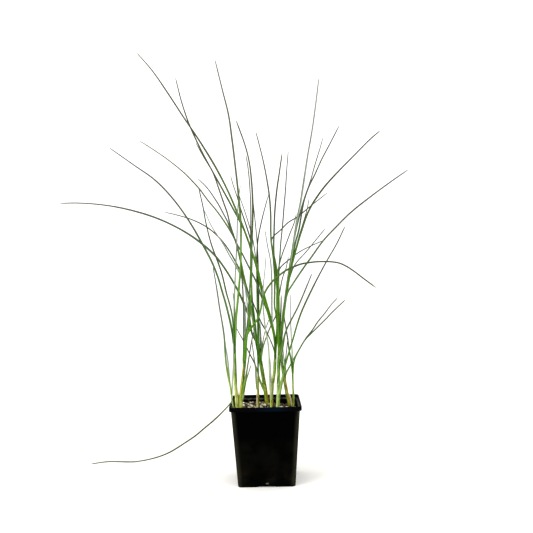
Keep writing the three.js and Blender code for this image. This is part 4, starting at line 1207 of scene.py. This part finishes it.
def post(x, y, low_radius, high_radius, low, high, sides):
    """A closed round post between two heights, as a loose object."""
    angles = [k / sides * 2 * math.pi for k in range(sides)]
    verts = []
    for z, r in ((low, low_radius), (high, high_radius)):
        verts += [((x + r * math.cos(a)) * MM, (y + r * math.sin(a)) * MM, z * MM) for a in angles]
    mesh = bpy.data.meshes.new("post")
    mesh.from_pydata(verts, [], skin(2, sides))
    return place_object("post", mesh)


def make_pot():
    """The whole pot: wall, collar, ledge, recessed base with its pad and four drain holes, notched foot."""
    surface = Surface()
    rings = [notch(square_ring(*ring), NOTCH_HEIGHT * share) for *ring, share in foot_profile()]
    rings += [square_ring(*ring) for ring in body_profile()]
    surface.add_rings(rings, [0.0] * len(rings[0]), np.linspace(0, 1, len(rings)), 0.5)
    pot = surface.make_piece("nursery_pot", [pot_material()], "pot")
    cut_with(pot, post(0, 0, PAD_RADIUS, PAD_REACH, PAD_BOTTOM, BASE_UNDERSIDE + PAD_INTO_BASE, 40), "UNION")
    for x in (-DRAIN_OFFSET, DRAIN_OFFSET):
        for y in (-DRAIN_OFFSET, DRAIN_OFFSET):
            cut_with(pot, post(x, y, DRAIN_RADIUS, DRAIN_RADIUS, -1.0, BASE_TOP + 1, 28), "DIFFERENCE")


def bed_height(x, y):
    """Mean height of the gravel: a little higher towards the back, and hollow at the back on the right."""
    swell = SWELL * math.sin(x / 9.0 + 1.0) * math.cos(y / 11.0)
    hollow = HOLLOW_DEPTH * float(passed(x, HOLLOW_X) * passed(y, HOLLOW_Y))
    return GRAVEL_TOP + GRAVEL_RISE * y / BODY_TOP_HALF + swell - hollow


def stem_spots():
    """Where stems and other growth pass through the gravel: [x, y, radius]."""
    spots = []
    for shoot in [*SHOOTS.values(), SPROUT]:
        foot = stem_points(shoot)[2]
        spots.append((foot[0], foot[1], shoot["half"] + STEM_ROOM))
    spots.append((HANGING_ROOT[0], HANGING_ROOT[1], HANGING_ROOM))
    for sheath in SHEATHS.values():
        spots.append((*sheath["points"][1][:2], SHEATH_ROOM))
    return spots


def pebble_spots(draw):
    """Pebbles laid one beside the other: [x, y, z, radius], the large ones first."""
    reach = wall_half(SOIL_TOP) - WALL - GAP
    corner = BODY_CORNER - WALL
    stems = stem_spots()
    laid = []
    for k in range(PEBBLE_TRIES):
        late = k / PEBBLE_TRIES
        radius = PEBBLE_SMALL + (PEBBLE_LARGE - PEBBLE_SMALL) * (1 - late) * draw.random()
        room = PEBBLE_ROOM * radius
        x = (2 * draw.random() - 1) * (reach - room)
        y = (2 * draw.random() - 1) * (reach - room)
        in_corner = min(abs(x), abs(y)) > reach - corner
        if in_corner and math.hypot(abs(x) - reach + corner, abs(y) - reach + corner) > corner - room:
            continue
        if any(math.hypot(x - sx, y - sy) < sr + PEBBLE_OFF_STEM * radius for sx, sy, sr in stems):
            continue
        if any(math.hypot(x - q[0], y - q[1]) < PEBBLE_SPACING * (radius + q[3]) for q in laid):
            continue
        z = bed_height(x, y) - PEBBLE_SUNK * radius + PEBBLE_SCATTER * draw.random()
        laid.append((x, y, max(z, SOIL_TOP + GAP + radius), radius))
    return laid


def pebble_rings(place, radius, draw):
    """A rounded stone: a squashed ball with a few soft swells, as rings."""
    full_turn = 6.28
    turn = Matrix.Rotation(draw.random() * full_turn, 3, "Z") @ Matrix.Rotation(draw.random() * 0.7, 3, "X")
    turn = np.array(turn.transposed())
    stretch = (0.85 + 0.4 * draw.random(), 0.85 + 0.3 * draw.random(), 0.62 + 0.3 * draw.random())
    swells = []
    for _ in range(3):
        swells.append((draw.random() * full_turn, draw.random() * full_turn, 0.05 + 0.09 * draw.random()))
    around = np.arange(PEBBLE_SIDES) / PEBBLE_SIDES * 2 * math.pi
    rings = []
    for level in range(PEBBLE_LEVELS):
        polar = math.pi * (0.06 + 0.88 * level / (PEBBLE_LEVELS - 1))
        size = radius + np.zeros(PEBBLE_SIDES)
        for k, (a, b, amount) in enumerate(swells):
            size += radius * amount * np.sin((k + 2) * around + a) * math.sin((k + 1) * polar + b)
        flat = size * math.sin(polar)
        ball = np.array([flat * np.cos(around), flat * np.sin(around), -size * math.cos(polar)])
        rings.append((ball.T * stretch) @ turn + place)
    return rings


def bed_point(x, y, reach):
    """A point of the bed's top. Points in the corners are drawn in onto the rounded corner."""
    straight = reach - (BODY_CORNER - WALL)
    dx, dy = abs(x) - straight, abs(y) - straight
    if dx > 0 and dy > 0:
        drawn_in = max(dx, dy) / math.hypot(dx, dy)
        x, y = math.copysign(straight + dx * drawn_in, x), math.copysign(straight + dy * drawn_in, y)
    lump = SWELL * math.sin(x * 2.3) * math.sin(y * 2.1 + 1.0)
    return np.array([x, y, bed_height(x, y) - BED_BELOW + lump])


def add_bed(surface, look):
    """Packed fines: a lumpy top, an upright edge and a flat underside a little above the soil."""
    low = SOIL_TOP + GAP
    reach = wall_half(low) - WALL - GAP
    grid = np.linspace(-reach, reach, BED_CELLS + 1)
    points = [bed_point(x, y, reach) for y in grid for x in grid]
    row = BED_CELLS + 1
    steps = range(BED_CELLS)
    faces = []
    for j in steps:
        faces += [(k, k + 1, k + row + 1, k + row) for k in range(j * row, j * row + BED_CELLS)]
    rim = [*steps, *[j * row + BED_CELLS for j in steps]]
    rim += [row * row - 1 - i for i in steps] + [(BED_CELLS - j) * row for j in steps]
    foot = len(points)
    points += [np.array([*points[k][:2], low]) for k in rim]
    count = len(rim)
    for k in range(count):
        j = (k + 1) % count
        faces.append((rim[k], foot + k, foot + j, rim[j]))
    faces.append(tuple(foot + k for k in reversed(range(count))))
    surface.add_faces(faces, look)
    surface.add_points(points, [(0.0, 0.0)] * len(points), (0.5, 0.5))


def make_gravel(draw):
    """A bed of packed fines with some hundreds of pebbles in and on it."""
    surface = Surface()
    add_bed(surface, 1)
    heights = np.linspace(0, 1, PEBBLE_LEVELS)
    for *place, radius in pebble_spots(draw):
        rings = pebble_rings(np.array(place), radius, draw)
        surface.add_rings(rings, [0.0] * PEBBLE_SIDES, heights, draw.random(), draw.random())
    surface.make_piece("gravel_bed", [pebble_material(), soil_material()], "gravel")


# Studio.


def make_camera():
    """The camera at the photograph's place: nearly level, a little above the middle of the plant."""
    data = bpy.data.cameras.new("camera")
    data.lens = CAMERA_LENS
    data.sensor_width = CAMERA_SENSOR
    data.clip_end = CAMERA_REACH
    camera = place_object("camera", data)
    pitch = Matrix.Rotation(math.radians(90 + CAMERA_PITCH_DEG), 4, "X")
    roll = Matrix.Rotation(math.radians(CAMERA_ROLL_DEG), 4, "Z")
    camera.matrix_world = Matrix.Translation((EYE * MM).tolist()) @ pitch @ roll
    bpy.context.scene.camera = camera


def make_light(name, place, target, size, power, colour):
    data = bpy.data.lights.new(name, "AREA")
    data.shape = "DISK"
    data.size = size
    data.energy = power
    data.color = colour
    place, target = Vector(place), Vector(target)
    turn = (target - place).to_track_quat("-Z", "Y").to_matrix().to_4x4()
    place_object(name, data).matrix_world = Matrix.Translation(place) @ turn


def make_studio():
    """A pale floor without an edge, an even white surround and soft lamps, the main one from the left."""
    mesh = bpy.data.meshes.new("floor")
    corners = [(-1, -1), (1, -1), (1, 1), (-1, 1)]
    mesh.from_pydata([(x * FLOOR_REACH, y * FLOOR_REACH, 0) for x, y in corners], [], [(0, 1, 2, 3)])
    mesh.materials.append(floor_material())
    floor = place_object("floor", mesh)

    world = bpy.data.worlds.new("surround")
    world.use_nodes = True
    back = world.node_tree.nodes["Background"]
    back.inputs["Color"].default_value = (1.0, 1.0, 1.0, 1.0)
    back.inputs["Strength"].default_value = SURROUND_STRENGTH
    bpy.context.scene.world = world

    for name, lamp in LAMPS.items():
        make_light(name, *lamp)
    bpy.context.scene.view_settings.view_transform = "Standard"
    bpy.context.scene.view_settings.look = "Medium High Contrast"


# Assembly.

make_camera()
make_studio()
make_pot()
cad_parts["soil"].material_slots[0].material = soil_material()
make_gravel(random.Random(SEEDS["gravel"]))
slate = plant_material("slate_green", SLATE, SLATE_COLOUR_FROM)
pale = plant_material("pale_green", PALE)
for number, (name, shoot) in enumerate(SHOOTS.items()):
    make_shoot(name, shoot, [slate, pale], random.Random(SEEDS["shoots"] + number))
make_sprout(random.Random(SEEDS["sprout"]))
make_hanging_leaf(random.Random(SEEDS["hanging_leaf"]))
papers = {
    "sheath_dry": papery_material("dry_straw", "#efe8c8", "#d2bd84", "#b08a52"),
    "sheath_old": papery_material("dry_brown", "#7a4630", "#4a2519", "#9a7a4c"),
}
for number, (name, sheath) in enumerate(SHEATHS.items()):
    make_sheath(name, sheath, papers[sheath["slot"]], random.Random(SEEDS["sheaths"] + number))
